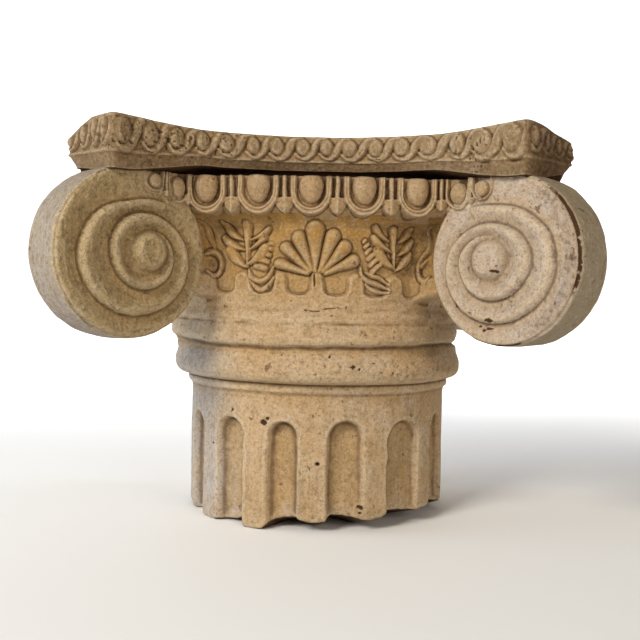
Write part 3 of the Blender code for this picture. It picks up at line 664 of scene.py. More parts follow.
def neck(material):
    """The bell between the collar and the eggs, with a web towards each volute."""
    front_l = np.linspace(-NECK.end, NECK.end, 372)
    side_l = np.linspace(-NECK.end, NECK.end, 56)
    z_rows = np.concatenate([np.linspace(DRUM_TOP - SEAM, 0.2450, 20)[:-1], np.linspace(0.2450, NECK_TOP, 116)])
    parts = []
    outs = []
    dirt_and_shade_parts = []
    straight = math.pi / 4 - math.atan2(WEB_HALF + WEB_FILLET, WEB_CENTRE)
    arc = straight * NECK_RADIUS
    for quarter in range(4):
        l = front_l if quarter == 0 else side_l
        base, normal = NECK.at(l)
        e_base, e_normal = ECHINUS.at(np.interp(l, NECK_RUN, ECHINUS_RUN))
        beyond = straight + (np.abs(l) - arc) / (NECK.end - arc) * (math.pi / 4 - straight)
        turn = np.where(np.abs(l) <= arc, l / NECK_RADIUS, np.sign(l) * beyond)
        u, z = np.meshgrid(l * 0.165 / NECK_RADIUS, z_rows)
        turn = np.broadcast_to(turn, u.shape)
        f = flare(z)[..., None]
        p2 = base[None] * (1 - f) + e_base[None] * f
        n2 = normal[None] * (1 - f) + e_normal[None] * f
        g = smooth(WEB_BOTTOM - 0.0080, WEB_BOTTOM + 0.0080, z)
        radial = np.stack([np.sin(turn), -np.cos(turn)], -1)
        under = NECK_RADIUS + np.interp(z, DRUM_CURVE[:, 1], DRUM_CURVE[:, 0]) - (NECK_RADIUS + COLLAR_PROUD)
        p2 = radial * under[..., None] * (1 - g[..., None]) + p2 * g[..., None]
        n2 = radial * (1 - g[..., None]) + n2 * g[..., None]
        n2 = n2 / np.linalg.norm(n2, axis=-1, keepdims=True)
        spot = np.concatenate([p2, z[..., None]], -1)
        uw = u + 0.0006 * noise(spot, 0.011, 24)
        vw = z + 0.0006 * noise(spot, 0.011, 25)
        # Collar and its scalloped edge
        edge = 0.2690 + 0.0010 * noise(spot, 0.02, 21)
        if quarter == 0:
            edge = edge + 0.0035 * smooth(0.010, 0.002, np.abs(uw + 0.0023))
            for k in range(5):
                tip = 0.5 * (POCKETS[k] + POCKETS[k + 1])
                edge = edge + 0.0022 * smooth(0.007, 0.001, np.abs(uw - tip))
        collar = COLLAR_PROUD * smooth(edge + 0.0022, edge - 0.0022, vw)
        ends = smooth(NECK.end + 0.004, NECK.end - 0.022, np.abs(l))[None]
        height = collar * (1 - g * (1 - ends))
        dirt_and_shade = np.zeros_like(u)
        if quarter == 0:
            height, dirt_and_shade = neck_front(u, z, uw, vw, spot, height)
        deg = np.degrees(turn) + 90.0 * quarter
        deg = (deg + 180.0) % 360.0 - 180.0
        height = height + folds(deg, z) - 0.00012 * smooth(DRUM_TOP, DRUM_TOP - SEAM, z)
        height = height + (0.0004 * noise(spot, 0.030, 22) + 0.00022 * noise(spot, 0.006, 23)) * smooth(0.228, 0.240, z)
        p = np.concatenate([p2 + n2 * height[..., None], z[..., None]], -1)
        parts.append(turn_quarter(p, quarter))
        outs.append(turn_quarter(np.concatenate([n2, np.zeros_like(z)[..., None]], -1), quarter))
        dirt_and_shade_parts.append(dirt_and_shade)
    p, out, dirt_and_shade = (np.concatenate(pieces, axis=1) for pieces in (parts, outs, dirt_and_shade_parts))
    closed("neck", material, p, out, (11, 11), 0.0, dirt_and_shade, DRUM_TOP - SEAM, NECK_TOP)


# Egg and dart. Each egg: place across, height of its middle, half width, half height, size
EGG_Z = 0.3535
EGGS = tuple((-0.0075 + 0.0532 * k, EGG_Z, 0.0114, 0.0168, 1.0) for k in range(-2, 3))
SMALL_EGGS = ((0.1409, 0.3525, 0.0098, 0.0112, 0.80), (0.1622, 0.3562, 0.0078, 0.0078, 0.62),
              (-0.1423, 0.3540, 0.0082, 0.0110, 0.76), (-0.1632, 0.3580, 0.0070, 0.0074, 0.58))
# Half width of a dart's head, by the share of its height
SPEAR = ((0.0, 0.15, 0.42, 0.70, 0.84, 1.0), (0.0006, 0.0044, 0.0080, 0.0098, 0.0094, 0.0078))


def shell_of(wide, tall, size):
    """Half width and height of the shell's outer and inner edge."""
    if size == 1.0:
        return 0.0211, 0.0254, 0.0152, 0.0168
    return wide + 0.0068 * size, tall + 0.0064 * size, wide + 0.0021, tall + 0.0016


def egg_course(uw, zw):
    """Eggs in their shells, and the darts between. Gives their height, where they cover the ground, and the hollows."""
    cover = np.zeros_like(uw)
    height = np.zeros_like(uw)
    hollow = np.zeros_like(uw)
    eggs = sorted(EGGS + SMALL_EGGS)
    for x, ez, wide, tall, size in eggs:
        du = uw - ECHINUS.where_x(x)
        dz = zw - ez
        # Double-rimmed shell round the egg, open at the top
        out_w, out_h, in_w, in_h = shell_of(wide, tall, size)
        down = np.minimum(dz, 0.0)
        d_out = np.hypot(du / out_w, down / out_h)
        d_in = np.hypot(du / in_w, down / in_h)
        across = np.clip((1 - d_out) / np.maximum((1 - d_out) + (d_in - 1), 1e-6), 0, 1)
        low = smooth(0.0, -0.016, dz)
        inner = np.clip(1 - ((across - 0.77) / 0.24)**2, 0, 1)**0.5
        outer = np.clip(1 - ((across - 0.27) / 0.30)**2, 0, 1)**0.5 * (0.80 + 0.20 * low)
        rise = 0.0060 * size**0.5
        ring = rise * (0.30 + 0.70 * np.maximum(inner, outer))
        in_ring = (d_out < 1.0) & (d_in > 1.0)
        height = np.where(in_ring, np.maximum(height, ring), height)
        cover = np.maximum(cover, np.where(d_out < 1.0, smooth(1.0, 0.93, d_out), 0))
        # Egg
        spread = wide * (1 + 0.06 * np.clip(dz / tall, -1, 1))
        rise_z = dz - (0.0038 if size == 1.0 else 0.0)
        d = np.hypot(du / spread, rise_z / tall)
        egg = 0.0092 * size**0.6 * np.clip(1 - d**2.2, 0, 1)**0.5
        height = np.where(d < 1, np.maximum(height, egg), height)
        # Painted shade in the gap round each egg, darker on its right where the egg's shadow falls
        gap = (d >= 1) & (d_in < 1)
        hollow = np.where(gap, np.maximum(hollow, (0.30 + 0.14 * np.sign(du)) * smooth(1.0, 0.90, d_in)), hollow)
    # Darts between the shells
    for left, right in zip(eggs, eggs[1:]):
        size = min(left[4], right[4])
        lc = 0.5 * (ECHINUS.where_x(left[0]) + shell_of(*left[2:])[0])
        lc = lc + 0.5 * (ECHINUS.where_x(right[0]) - shell_of(*right[2:])[0])
        shoulder = 0.3470 + 0.0060 * (1 - size)
        tip = 0.3300 + 0.0300 * (1 - size)
        du = np.abs(uw - lc)
        bar = np.clip(1 - (du / (0.0026 * size))**2.6, 0, 1)**0.5 * 0.0052
        bar = np.where(zw > shoulder - 0.002, bar, 0)
        share = np.clip((zw - tip) / (shoulder - tip), 0, 1)
        wide = size**1.5 * np.interp(share, SPEAR[0], SPEAR[1])
        edge = np.clip(1 - du / np.maximum(wide, 1e-5), 0, 1)
        head = np.where(edge > 0, 0.0012 + 0.0054 * edge**0.8, 0)
        head = np.where((zw > tip) & (zw < shoulder), head, 0)
        hook = np.abs(zw - (shoulder - 0.0020 - 0.55 * du))
        head = np.where(head > 0, head - 0.0010 * smooth(0.0012, 0.0003, hook) * (du > 0.0016), head)
        both = np.maximum(bar, head)
        # Painted shade in the slots beside each dart
        beside = (du > 0.0020 * size) & (du < 0.0070 * size) & (zw > shoulder - 0.001)
        hollow = np.where(beside & (height < 0.001), np.maximum(hollow, 0.38), hollow)
        height = np.maximum(height, both)
        cover = np.maximum(cover, smooth(0.0, 0.0012, both))
    return height, cover, hollow


def echinus(material):
    """The egg-and-dart moulding and the recess above it."""
    front_l = np.linspace(-ECHINUS.end, ECHINUS.end, 600)
    side_l = np.linspace(-ECHINUS.end, ECHINUS.end, 132)
    z_rows = np.concatenate([np.linspace(ECHINUS_LOW, ECHINUS_LIP, 80), np.linspace(ECHINUS_LIP, ECHINUS_HIGH, 9)[1:]])
    parts = []
    outs = []
    dirt_and_shade_parts = []
    for quarter in range(4):
        l = front_l if quarter == 0 else side_l
        e_base, e_normal = ECHINUS.at(l)
        base, normal = NECK.at(np.interp(l, ECHINUS_RUN, NECK_RUN))
        u, z = np.meshgrid(l, z_rows)
        f = flare(z)[..., None]
        ground = base[None] * (1 - f) + e_base[None] * f
        n2 = normal[None] * (1 - f) + e_normal[None] * f
        n2 = n2 / np.linalg.norm(n2, axis=-1, keepdims=True)
        spot = np.concatenate([ground, z[..., None]], -1)
        height, cover, hollow = egg_course(u + 0.0006 * noise(spot, 0.010, 33), z + 0.0006 * noise(spot, 0.010, 34))
        sunk = 0.0030 * smooth(0.150, 0.168, np.abs(u))
        height = height + sunk * (height > 0.0012) - 0.0012 * hollow
        height = blur(height, 1, 1, False)
        # The recess under the abacus
        recess = smooth(ECHINUS_LIP, ECHINUS_LIP + 0.0018, z + 0.0006 * noise(spot, 0.012, 35))
        depth = RECESS_MIDDLE + (RECESS_CORNER - RECESS_MIDDLE) * smooth(0.112, 0.150, np.abs(u))
        height = height * (1 - recess) - depth * recess
        cover = np.maximum(cover, recess)
        rough = 0.0005 * noise(spot, 0.025, 31) + 0.00028 * noise(spot, 0.005, 32)
        lifted = e_base[None] + e_normal[None] * (height + rough)[..., None]
        plain = ground + n2 * rough[..., None]
        c = cover[..., None]
        p = np.concatenate([plain * (1 - c) + lifted * c, z[..., None]], -1)
        parts.append(turn_quarter(p, quarter))
        outs.append(turn_quarter(np.concatenate([n2, np.zeros_like(z)[..., None]], -1), quarter))
        # Painted shade: in the hollows round the eggs and beside the darts, full dark in the recess under the abacus,
        # and over the eggs' tops just below it
        dirt_and_shade_parts.append(most(hollow * smooth(0.335, 0.345, z), smooth(ECHINUS_LIP - 0.0004, ECHINUS_LIP + 0.0010, z),
                          0.30 * smooth(ECHINUS_LIP - 0.0050, ECHINUS_LIP, z)))
    p, out, dirt_and_shade = (np.concatenate(pieces, axis=1) for pieces in (parts, outs, dirt_and_shade_parts))
    closed("echinus", material, p, out, (10, 12), 0.0, dirt_and_shade, ECHINUS_LOW, ECHINUS_HIGH)


# Volutes: S runs along a diagonal from the axis, T beside it
FINE_RINGS = 90
PLAIN_RINGS = 46
RIM_STEPS = 7
RIM_ROWS = 28
DISC_S = 0.2750
DISC_Z = 0.2868
DISC_RADIUS = 0.0840
DISC_HALF = 0.0248
DISC_ROUND = 0.0028
COIL_RISE = 0.0054
EYE_S = 0.2618
EYE_Z = 0.2868
EYE_TOP = 0.0135
EYE_BASE = 0.0190
EYE_RISE = 0.0100
CHIPS = ((0.2660, 0.2290, 0.0060, 0.0024), (0.2250, 0.2420, 0.0034, 0.0022), (0.2715, 0.2760, 0.0050, 0.0016),
         (0.2530, 0.2225, 0.0024, 0.0016), (0.2640, 0.2205, 0.0044, 0.0014), (0.2585, 0.2185, 0.0018, 0.0012))
# Crease between the coils, as angle from the top outwards and distance from the eye
RIGHT_COIL = ((-25, 0.0560), (-11, 0.0540), (10, 0.0532), (47, 0.0610), (69, 0.0680), (92, 0.0708), (112, 0.0700),
              (145, 0.0650), (180, 0.0610), (218, 0.0575), (250, 0.0530), (283, 0.0465), (312, 0.0402), (345, 0.0360),
              (375, 0.0357), (400, 0.0388), (433, 0.0447), (453, 0.0457), (485, 0.0432), (524, 0.0400), (560, 0.0380),
              (595, 0.0352), (631, 0.0335), (665, 0.0295), (706, 0.0245), (745, 0.0200))
LEFT_COIL = ((-25, 0.0550), (-11, 0.0530), (21, 0.0525), (56, 0.0641), (81, 0.0698), (98, 0.0722), (125, 0.0690),
             (156, 0.0640), (185, 0.0590), (215, 0.0560), (245, 0.0525), (271, 0.0485), (299, 0.0430), (332, 0.0392),
             (361, 0.0385), (403, 0.0405), (442, 0.0392), (468, 0.0375), (511, 0.0365), (551, 0.0350), (586, 0.0335),
             (620, 0.0310), (659, 0.0280), (700, 0.0240), (745, 0.0200))


def coil_height(s, z, coil, seed, eye):
    """Height of the carved coil over the disc's face."""
    ds = s - EYE_S
    dz = z - EYE_Z
    r = np.hypot(ds, dz)
    phi = np.degrees(np.arctan2(ds, dz)) % 360.0
    line = curve_through(coil, 8)
    first = line[0, 0]
    last = line[-1, 0]
    reach = np.hypot(s - DISC_S, z - DISC_Z)
    # Distance from the eye to the disc's edge in the same direction
    bs = EYE_S - DISC_S
    bz = EYE_Z - DISC_Z
    along = bs * np.sin(np.radians(phi)) + bz * np.cos(np.radians(phi))
    edge = -along + np.sqrt(along**2 + DISC_RADIUS**2 - bs**2 - bz**2)
    # The crease may pass up to four times between the eye and the edge
    creases = []
    thetas = []
    for turn in (-1, 0, 1, 2):
        theta = phi + 360.0 * turn
        ok = (theta >= first) & (theta <= last)
        creases.append(np.where(ok, np.interp(theta, line[:, 0], line[:, 1]), np.nan))
        thetas.append(theta)

    def bands(skip):
        outer = edge.copy()
        inner = np.full_like(r, EYE_BASE)
        rank = np.zeros_like(r)
        for k in range(4):
            b = np.where(skip[k], np.nan, creases[k])
            outside = b >= r
            inside = b < r
            rank = rank + outside
            outer = np.where(outside & (b < outer), b, outer)
            inner = np.where(inside & (b > inner), b, inner)
        share = np.clip((r - inner) / np.maximum(outer - inner, 1e-4), 0, 1)
        wide = outer - inner
        # A hollow at the inner side rises to a roll, which drops to the crease outside it
        roll = smooth(0.02, 0.74, share)**1.35
        drop = 1.0 - 0.55 * smooth(0.80, 1.0, share)**1.5
        body = COIL_RISE * smooth(0.003, 0.015, wide) * roll * drop + 0.0013 * np.minimum(rank, 2.0)
        shade = np.where(phi < 180, smooth(10.0, 90.0, phi), smooth(330.0, 270.0, phi))
        rim = 0.0032 * smooth(0.10, 0.62, share) * (1 - 0.30 * smooth(0.86, 1.0, share)) * (0.15 + 0.85 * shade)
        return np.where(rank < 0.5, rim, body)

    nothing = [np.zeros_like(r, bool)] * 4
    height = bands(nothing)
    # The crease fades in below the eggs and fades out at the eye
    for low, high in ((first, first + 75.0), (last, last - 100.0)):
        a, b = min(low, high), max(low, high)
        skip = [(t >= a) & (t <= b) for t in thetas]
        share = sum(np.where(m, smooth(low, high, t), 0.0) for m, t in zip(skip, thetas))
        some = np.any(skip, axis=0)
        height = np.where(some, bands(skip) * (1 - share) + height * share, height)
    for b, theta in zip(creases, thetas):
        gap = np.where(np.isnan(b), 1.0, np.abs(r - b))
        fade = smooth(first, first + 60, theta) * smooth(last, last - 90, theta)
        height = height - 0.0006 * fade * bell(gap, 0.0012)
    # Eye, a blunt cone with a hollow round it, deepest on its outer side
    outward = 0.5 + 0.5 * np.sin(np.radians(phi))
    height = height - (0.0006 + 0.0016 * outward) * bell(r - 0.0245, 0.0055)
    r = np.hypot(ds - eye[0], dz - eye[1])
    height = height * smooth(EYE_TOP, EYE_BASE, r)
    height = height + EYE_RISE * smooth(EYE_BASE + 0.0020, EYE_TOP - 0.0010, r) - 0.0007 * smooth(0.010, 0.0, r)
    spot = np.stack([s, z, np.full_like(s, seed * 0.37)], -1)
    height = height + 0.0006 * noise(spot, 0.022, seed) + 0.0003 * noise(spot, 0.006, seed + 1)
    # Marks of the turning that follow the coil
    height = height + 0.00045 * drag_marks(s, z, seed)
    height = height - 0.0007 * smooth(0.45, 0.75, noise(spot, 0.0042, seed + 3))
    return height * smooth(DISC_RADIUS - 0.0005, DISC_RADIUS - 0.0050, reach)


def drag_marks(s, z, seed):
    """Streaks that run round a volute's eye, from -1 to 1."""
    ds = s - EYE_S
    dz = z - EYE_Z
    r = np.hypot(ds, dz)
    way = np.arctan2(ds, dz)
    turned = np.stack([r * 9, np.sin(way) * 0.07, np.cos(way) * 0.07 + seed], -1)
    return 0.6 * noise(turned, 0.022, seed + 2) + 0.4 * noise(turned, 0.009, seed + 9)


def chips(s, z, places):
    """Dark chips on a volute's face: distance along the diagonal, height, half width, half height."""
    spot = np.stack([s, z, 0 * s], -1)
    total = np.zeros_like(s)
    for cs, cz, ws, wz in places:
        d = np.hypot((s - cs) / ws, (z - cz) / wz) * (1 + 0.35 * noise(spot, 0.0028, 91))
        total = np.maximum(total, smooth(1.0, 0.6, d))
    return total


def diagonal(s, t, z):
    return np.stack([HALF * (s - t), -HALF * (s + t), z], -1)


def volute(quarter, name, material, coil, fine_side):
    """A disc on one diagonal. Its two faces look to the two sides beside it, and one of them may be finer."""
    skin = Skin()
    cols = 320 if fine_side else 200
    turns = np.linspace(0, 2 * math.pi, cols, endpoint=False)
    seed = 40 + quarter * 7
    left = coil is LEFT_COIL
    eye = (-0.0038, 0.0020) if left else (0.0, 0.0)
    rings = {}
    for side in (-1, 1):
        rows = FINE_RINGS if side == fine_side else PLAIN_RINGS
        tt, rr = np.meshgrid(turns, np.linspace(0.0006, DISC_RADIUS - DISC_ROUND, rows))
        s = DISC_S + rr * np.sin(tt)
        z = DISC_Z + rr * np.cos(tt)
        h = coil_height(s, z, coil, seed + side, eye)
        p = turn_quarter(diagonal(s, side * (DISC_HALF + h), z), quarter)
        outward = turn_quarter(np.broadcast_to(np.array([-HALF * side, -HALF * side, 0.0]), p.shape), quarter)
        reach = max(3, rows // 22)
        chips_and_shade = chips(s, z, CHIPS if quarter == 0 and side == 1 else ())
        streak = smooth(0.05, 0.75, drag_marks(s, z, seed + side)) * smooth(EYE_TOP, EYE_BASE, rr)
        chips_and_shade = np.maximum(chips_and_shade, (0.34 if left else 0.26) * streak)
        if left:
            ds = s - EYE_S
            dz = z - EYE_Z
            r = np.hypot(ds, dz)
            way = np.degrees(np.arctan2(ds, dz))
            # Painted shade in two grooves of the left volute's coil, near its top
            groove_shade = bell(r - 0.0445, 0.0045) * band(way, -30, 0, 60, 95)
            groove_shade = np.maximum(groove_shade, bell(r - 0.0262, 0.0042) * band(way, -60, -20, 15, 50))
            chips_and_shade = np.maximum(chips_and_shade, 0.25 * groove_shade)
        elif quarter == 0:
            # Darker on the outer band of the right volute's front face, on its outer side
            chips_and_shade = np.maximum(chips_and_shade, 0.26 * smooth(0.050, 0.074, rr) * smooth(-0.2, 0.7, np.sin(tt)))
        grid = skin.sheet(p, marks_of(p, outward, (reach, 3), (3 * reach, 8), 0.05 if left else 0.3, chips_and_shade))
        hub_h = coil_height(np.array([[DISC_S]]), np.array([[DISC_Z]]), coil, seed + side, eye)[0, 0]
        skin.cap(grid[0], turn_quarter(diagonal(DISC_S, side * (DISC_HALF + hub_h), DISC_Z), quarter))
        rings[side] = grid[-1]
    # Rim between the two faces
    a = 0.5 * math.pi * np.arange(1, RIM_STEPS) / RIM_STEPS
    edge = np.stack([DISC_RADIUS - DISC_ROUND * (1 - np.sin(a)), DISC_HALF - DISC_ROUND * (1 - np.cos(a))], -1)
    flat = DISC_HALF - DISC_ROUND
    middle = np.stack([np.full(RIM_ROWS, DISC_RADIUS), np.linspace(flat, -flat, RIM_ROWS)], -1)
    profile = np.vstack([edge, middle, edge[::-1] * (1, -1)])
    tt, rr = np.meshgrid(turns, profile[:, 0])
    _, t = np.meshgrid(turns, profile[:, 1])
    crown = 0.0008 * np.cos(np.clip(t / DISC_HALF, -1, 1) * math.pi / 2)
    spot = np.stack([DISC_S + rr * np.sin(tt), t, DISC_Z + rr * np.cos(tt)], -1)
    rr = rr - 0.0008 + crown + 0.0006 * noise(spot, 0.030, seed + 3) + 0.00025 * noise(spot, 0.006, seed + 4)
    near_edge = smooth(0.0026, 0.0007, np.abs(np.abs(t) - DISC_HALF + 0.0014 + 0.0010 * noise(spot, 0.007, seed + 8)))
    crack = smooth(0.10, 0.45, noise(spot * np.array([1, 0.2, 1]), 0.012, seed + 5)) * near_edge
    if quarter == 0:
        deg = np.degrees(tt) % 360.0
        bad = np.maximum(band(deg, 35, 50, 100, 120), band(deg, 160, 170, 185, 200))
        crack = np.maximum(crack * 0.4, bad * near_edge * (t > 0) * smooth(-1.1, -0.5, noise(spot, 0.009, seed + 7)))
    else:
        crack = crack * 0.3
    rr = rr - 0.0013 * crack
    s = DISC_S + rr * np.sin(tt)
    z = DISC_Z + rr * np.cos(tt)
    p = turn_quarter(diagonal(s, t, z), quarter)
    outward = turn_quarter(np.stack([HALF * np.sin(tt), -HALF * np.sin(tt), np.cos(tt)], -1), quarter)
    dark = crack * smooth(-0.9, -0.2, noise(spot, 0.0030, seed + 6))
    grid = skin.sheet(p, marks_of(p, outward, (3, 3), (6, 9), 1.0 - 0.6 * near_edge, dark))
    skin.stitch(rings[1], grid[0])
    skin.stitch(grid[-1], rings[-1])
    skin.build(name, material)


# Abacus
HORN_X = 0.1908
HORN_Y = 0.2488
SIDE_MIDDLE = 0.1558
ABACUS_TOP = 0.4122
HORN_LIFT = 0.0042
BAND_HIGH = 0.4118
BAND_MIDDLE = 0.3990
BAND_LOW = 0.3842
SOFFIT = 0.3760
UNDERSIDE = 0.3770
BAND_ROWS = 44
MEMBER_ROWS = 16
# How far inside the outline the rows of the top and of the soffit run
TOP_PULLS = (0.030, 0.015, 0.0090, 0.0062, 0.0048)
SOFFIT_PULLS = (0.0092, 0.0120, 0.0200, 0.0300)
# Arclength places are worked out from these X places of the wave bosses on the front
WAVE_X = (-0.1832, -0.1614, -0.1399, -0.1164, -0.0940, -0.0671, -0.0439, -0.0175, 0.0073, 0.0304, 0.0566, 0.0829,
          0.1081, 0.1352, 0.1565, 0.1805)


def side_y(x):
    sag = HORN_Y - SIDE_MIDDLE
    radius = (HORN_X**2 + sag**2) / (2 * sag)
    return SIDE_MIDDLE + radius - np.sqrt(radius**2 - x**2)


class Outline:
    """The abacus's plan: four hollow sides and four cut corners, and its outline at any distance inside it."""

    def __init__(self, counts, chamfer_counts):
        x = np.linspace(-HORN_X, HORN_X, 4001)
        self.x = x
        self.y = -side_y(x)
        self.run = np.concatenate([[0], np.cumsum(np.hypot(np.diff(x), np.diff(self.y)))])
        self.side = self.run[-1]
        self.chamfer = (HORN_Y - HORN_X) / HALF
        slope = np.gradient(self.y, self.x)
        length = np.hypot(1, slope)
        self.tx, self.ty = 1 / length, slope / length
        corner_normal = np.array([self.ty[-1], -self.tx[-1]])
        half_turn = 0.5 * math.acos(corner_normal @ np.array([HALF, -HALF]))
        self.trim = math.tan(half_turn)
        self.share = []
        self.zone = []
        for quarter in range(4):
            self.share.append((np.arange(counts[quarter])) / counts[quarter])
            self.zone.append(np.full(counts[quarter], 2 * quarter))
            self.share.append((np.arange(chamfer_counts[quarter])) / chamfer_counts[quarter])
            self.zone.append(np.full(chamfer_counts[quarter], 2 * quarter + 1))

    def along(self):
        out = []
        for share, zone in zip(self.share, self.zone):
            out.append(share * self.side - self.side / 2 if zone[0] % 2 == 0 else share * self.chamfer)
        return np.concatenate(out)

    def ring(self, inset):
        """Points and outward normals of the outline moved inwards."""
        points = []
        normals = []
        for share, zone in zip(self.share, self.zone):
            cut = self.trim * inset
            if zone[0] % 2 == 0:
                d = cut + share * (self.side - 2 * cut)
                inside = np.clip(d, 0, self.side)
                tx = np.interp(inside, self.run, self.tx)
                ty = np.interp(inside, self.run, self.ty)
                x = np.interp(inside, self.run, self.x) + (d - inside) * tx
                y = np.interp(inside, self.run, self.y) + (d - inside) * ty
                n = np.stack([ty, -tx], -1)
            else:
                d = cut + share * (self.chamfer - 2 * cut)
                x = HORN_X + d * HALF
                y = -HORN_Y + d * HALF
                n = np.broadcast_to(np.array([HALF, -HALF]), (len(share), 2))
            p = np.stack([x, y], -1) - n * inset
            quarter = zone[0] // 2
            points.append(turn_quarter(np.concatenate([p, 0 * p[:, :1]], -1), quarter))
            normals.append(turn_quarter(np.concatenate([n, 0 * p[:, :1]], -1), quarter))
        points = np.vstack(points)
        normals = np.vstack(normals)
        zones = np.concatenate(self.zone)
        seen = blur(np.isin(zones, (7, 0, 1)).astype(float)[None, :, None], 0, 10, True)[0]
        soft = blur(blur(points[None], 0, 9, True), 0, 5, True)[0]
        points = soft * seen + blur(blur(points[None], 0, 2, True), 0, 1, True)[0] * (1 - seen)
        normals = blur(normals[None], 0, 6, True)[0]
        normals = normals / np.linalg.norm(normals, axis=1, keepdims=True)
        return points, normals


def abacus(material):
    """The slab on top: a carved band, a narrowing member below it, and the soffit."""
    outline = Outline((470, 190, 190, 190), (84, 34, 34, 84))
    u = outline.along()
    zone = np.concatenate(outline.zone)
    side_run = outline.side
    chamfer = outline.chamfer
    ring, _ = outline.ring(0.0)
    horn = smooth(0.21, 0.30, np.hypot(ring[:, 0], ring[:, 1]))
    sway = 0.0006 * noise(ring, 0.05, 64)
    # Worn outer ends of the two front horns
    from_left = np.where(zone == 7, chamfer - u, 0)
    from_right = np.where(zone == 1, u, 0)
    band_low = BAND_LOW - 0.0040 * horn + sway
    soffit = SOFFIT - 0.0113 * horn + sway
    soffit = soffit + 0.0035 * smooth(0.030, 0.085, from_left) + 0.0065 * smooth(0.030, 0.085, from_right)
    wear = 0.0180 * smooth(0.030, 0.086, from_left)**1.3 + 0.0130 * smooth(0.010, 0.084, from_right)**1.2
    inset = -0.0050 * smooth(0.040, 0.083, from_left) - 0.0050 * smooth(0.040, 0.083, from_right)
    wear = wear + np.where(zone == 6, 0.0160 * smooth(side_run / 2 - 0.05, side_run / 2, u), 0)
    wear = wear + np.where(zone == 2, 0.0105 * smooth(-side_run / 2 + 0.05, -side_run / 2, u), 0)
    wear = blur(wear[None] + 0.0010, 0, 4, True)[0]
    inset = blur(inset[None], 0, 4, True)[0]
    # Carved band
    share = np.linspace(0, 1, BAND_ROWS)
    top = ABACUS_TOP + HORN_LIFT * horn * (ring[:, 1] < 0) - wear
    z_band = top[None] + (band_low - top)[None] * share[:, None]
    uu = np.broadcast_to(u, z_band.shape)
    level = BAND_HIGH + (BAND_LOW - BAND_HIGH) * np.broadcast_to(share[:, None], z_band.shape)
    height = np.zeros_like(z_band)
    gap = np.full_like(z_band, 1.0)
    for z_number in range(8):
        cols = np.nonzero(zone == z_number)[0]
        flat_spot = np.stack([uu[:, cols], level[:, cols], np.full_like(uu[:, cols], z_number * 0.31)], -1)
        warp_u = uu[:, cols] + 0.0009 * noise(flat_spot, 0.011, 65)
        warp_v = level[:, cols] + 0.0008 * noise(flat_spot, 0.011, 66)
        relief = Relief(warp_u, warp_v)
        if z_number % 2 == 0:
            centres = np.interp(WAVE_X, outline.x, outline.run) - side_run / 2
            wave_row(relief, centres, 1.0)
        else:
            wave_row(relief, np.array([0.0120, 0.0330, 0.0530, 0.0710]), 0.84)
        height[:, cols] = relief.height
        gap[:, cols] = relief.gap
    from_corner = np.where(zone % 2 == 0, side_run / 2 - np.abs(u), np.minimum(u, chamfer - u))
    corner = bell(from_corner, 0.0045)
    height = blur(height, 1, 1, True) * (1 - corner) + blur(height, 1, 5, True) * corner
    height = height * smooth(0.0, 0.06, share)[:, None]
    moat = 0.0007 * bell(gap, 0.0012) * (height < 0.0008)
    brow = 0.0024 * (1 - np.sqrt(np.clip(1 - (1 - np.clip(share * 0.0285 / 0.0028, 0, 1))**2, 0, 1)))[:, None]
    lip = 0.0010 * smooth(0.84, 0.96, share)[:, None]
    rows = []
    for pull in TOP_PULLS:
        rows.append((pull, ABACUS_TOP + (top - ABACUS_TOP) * smooth(0.030, 0.0, pull), 0 * u))
    for k in range(BAND_ROWS):
        rows.append((0.0026, z_band[k], (height - moat - brow + lip)[k]))
    for k in range(1, MEMBER_ROWS + 1):
        down = k / MEMBER_ROWS
        pull = 0.0028 + 0.0050 * down**0.9
        rows.append((pull, band_low + (soffit - band_low) * down, 0 * u))
    for pull in SOFFIT_PULLS:
        rows.append((pull, soffit + 0.0004 + 0 * u, 0 * u))
    points = []
    outs = []
    for pull, z, lift in rows:
        base, normal = outline.ring(pull)
        p = base + normal * (lift - inset * smooth(0.03, 0.01, pull))[:, None]
        p[:, 2] = z
        points.append(p)
        outs.append(normal)
    p = np.array(points)
    normal = np.array(outs)
    grade = np.arange(len(rows))
    rough = 0.0006 * noise(p, 0.035, 61) + 0.0006 * noise(p, 0.007, 62) + 0.0002 * noise(p, 0.003, 69)
    p = p + normal * rough[..., None] * smooth(0.0, 4.0, grade)[:, None, None]
    p[..., 2] += 0.0004 * noise(p, 0.02, 63) * smooth(3, 8, grade)[:, None]
    dirt_and_shade = np.zeros(p.shape[:2])
    first = len(TOP_PULLS)
    member = first + BAND_ROWS
    # Painted shade in the ground round the band's relief, on the member below the band, and darkest on the soffit
    dirt_and_shade[first:member] = 0.26 * bell(gap, 0.0016) * (height < 0.0016)
    dirt_and_shade[member + MEMBER_ROWS - 1:] = 0.55
    dirt_and_shade[member:member + MEMBER_ROWS] += 0.25
    shade = 0.36 * smooth(0.150, 0.215, p[..., 0]) + 0.22 * smooth(-0.120, -0.190, p[..., 0])
    shade = shade * smooth(0.0, -0.1, p[..., 1]) * (grade > 3)[:, None]
    pits = smooth(0.42, 0.66, noise(p, 0.0026, 67)) * smooth(0.0, 0.4, noise(p, 0.03, 68))
    pits[:first] *= 0.4
    p = p - normal * (0.0007 * pits)[..., None]
    closed("abacus", material, p, normal, (8, 10), 0.0, most(dirt_and_shade, shade, 0.40 * pits), ABACUS_TOP, UNDERSIDE)


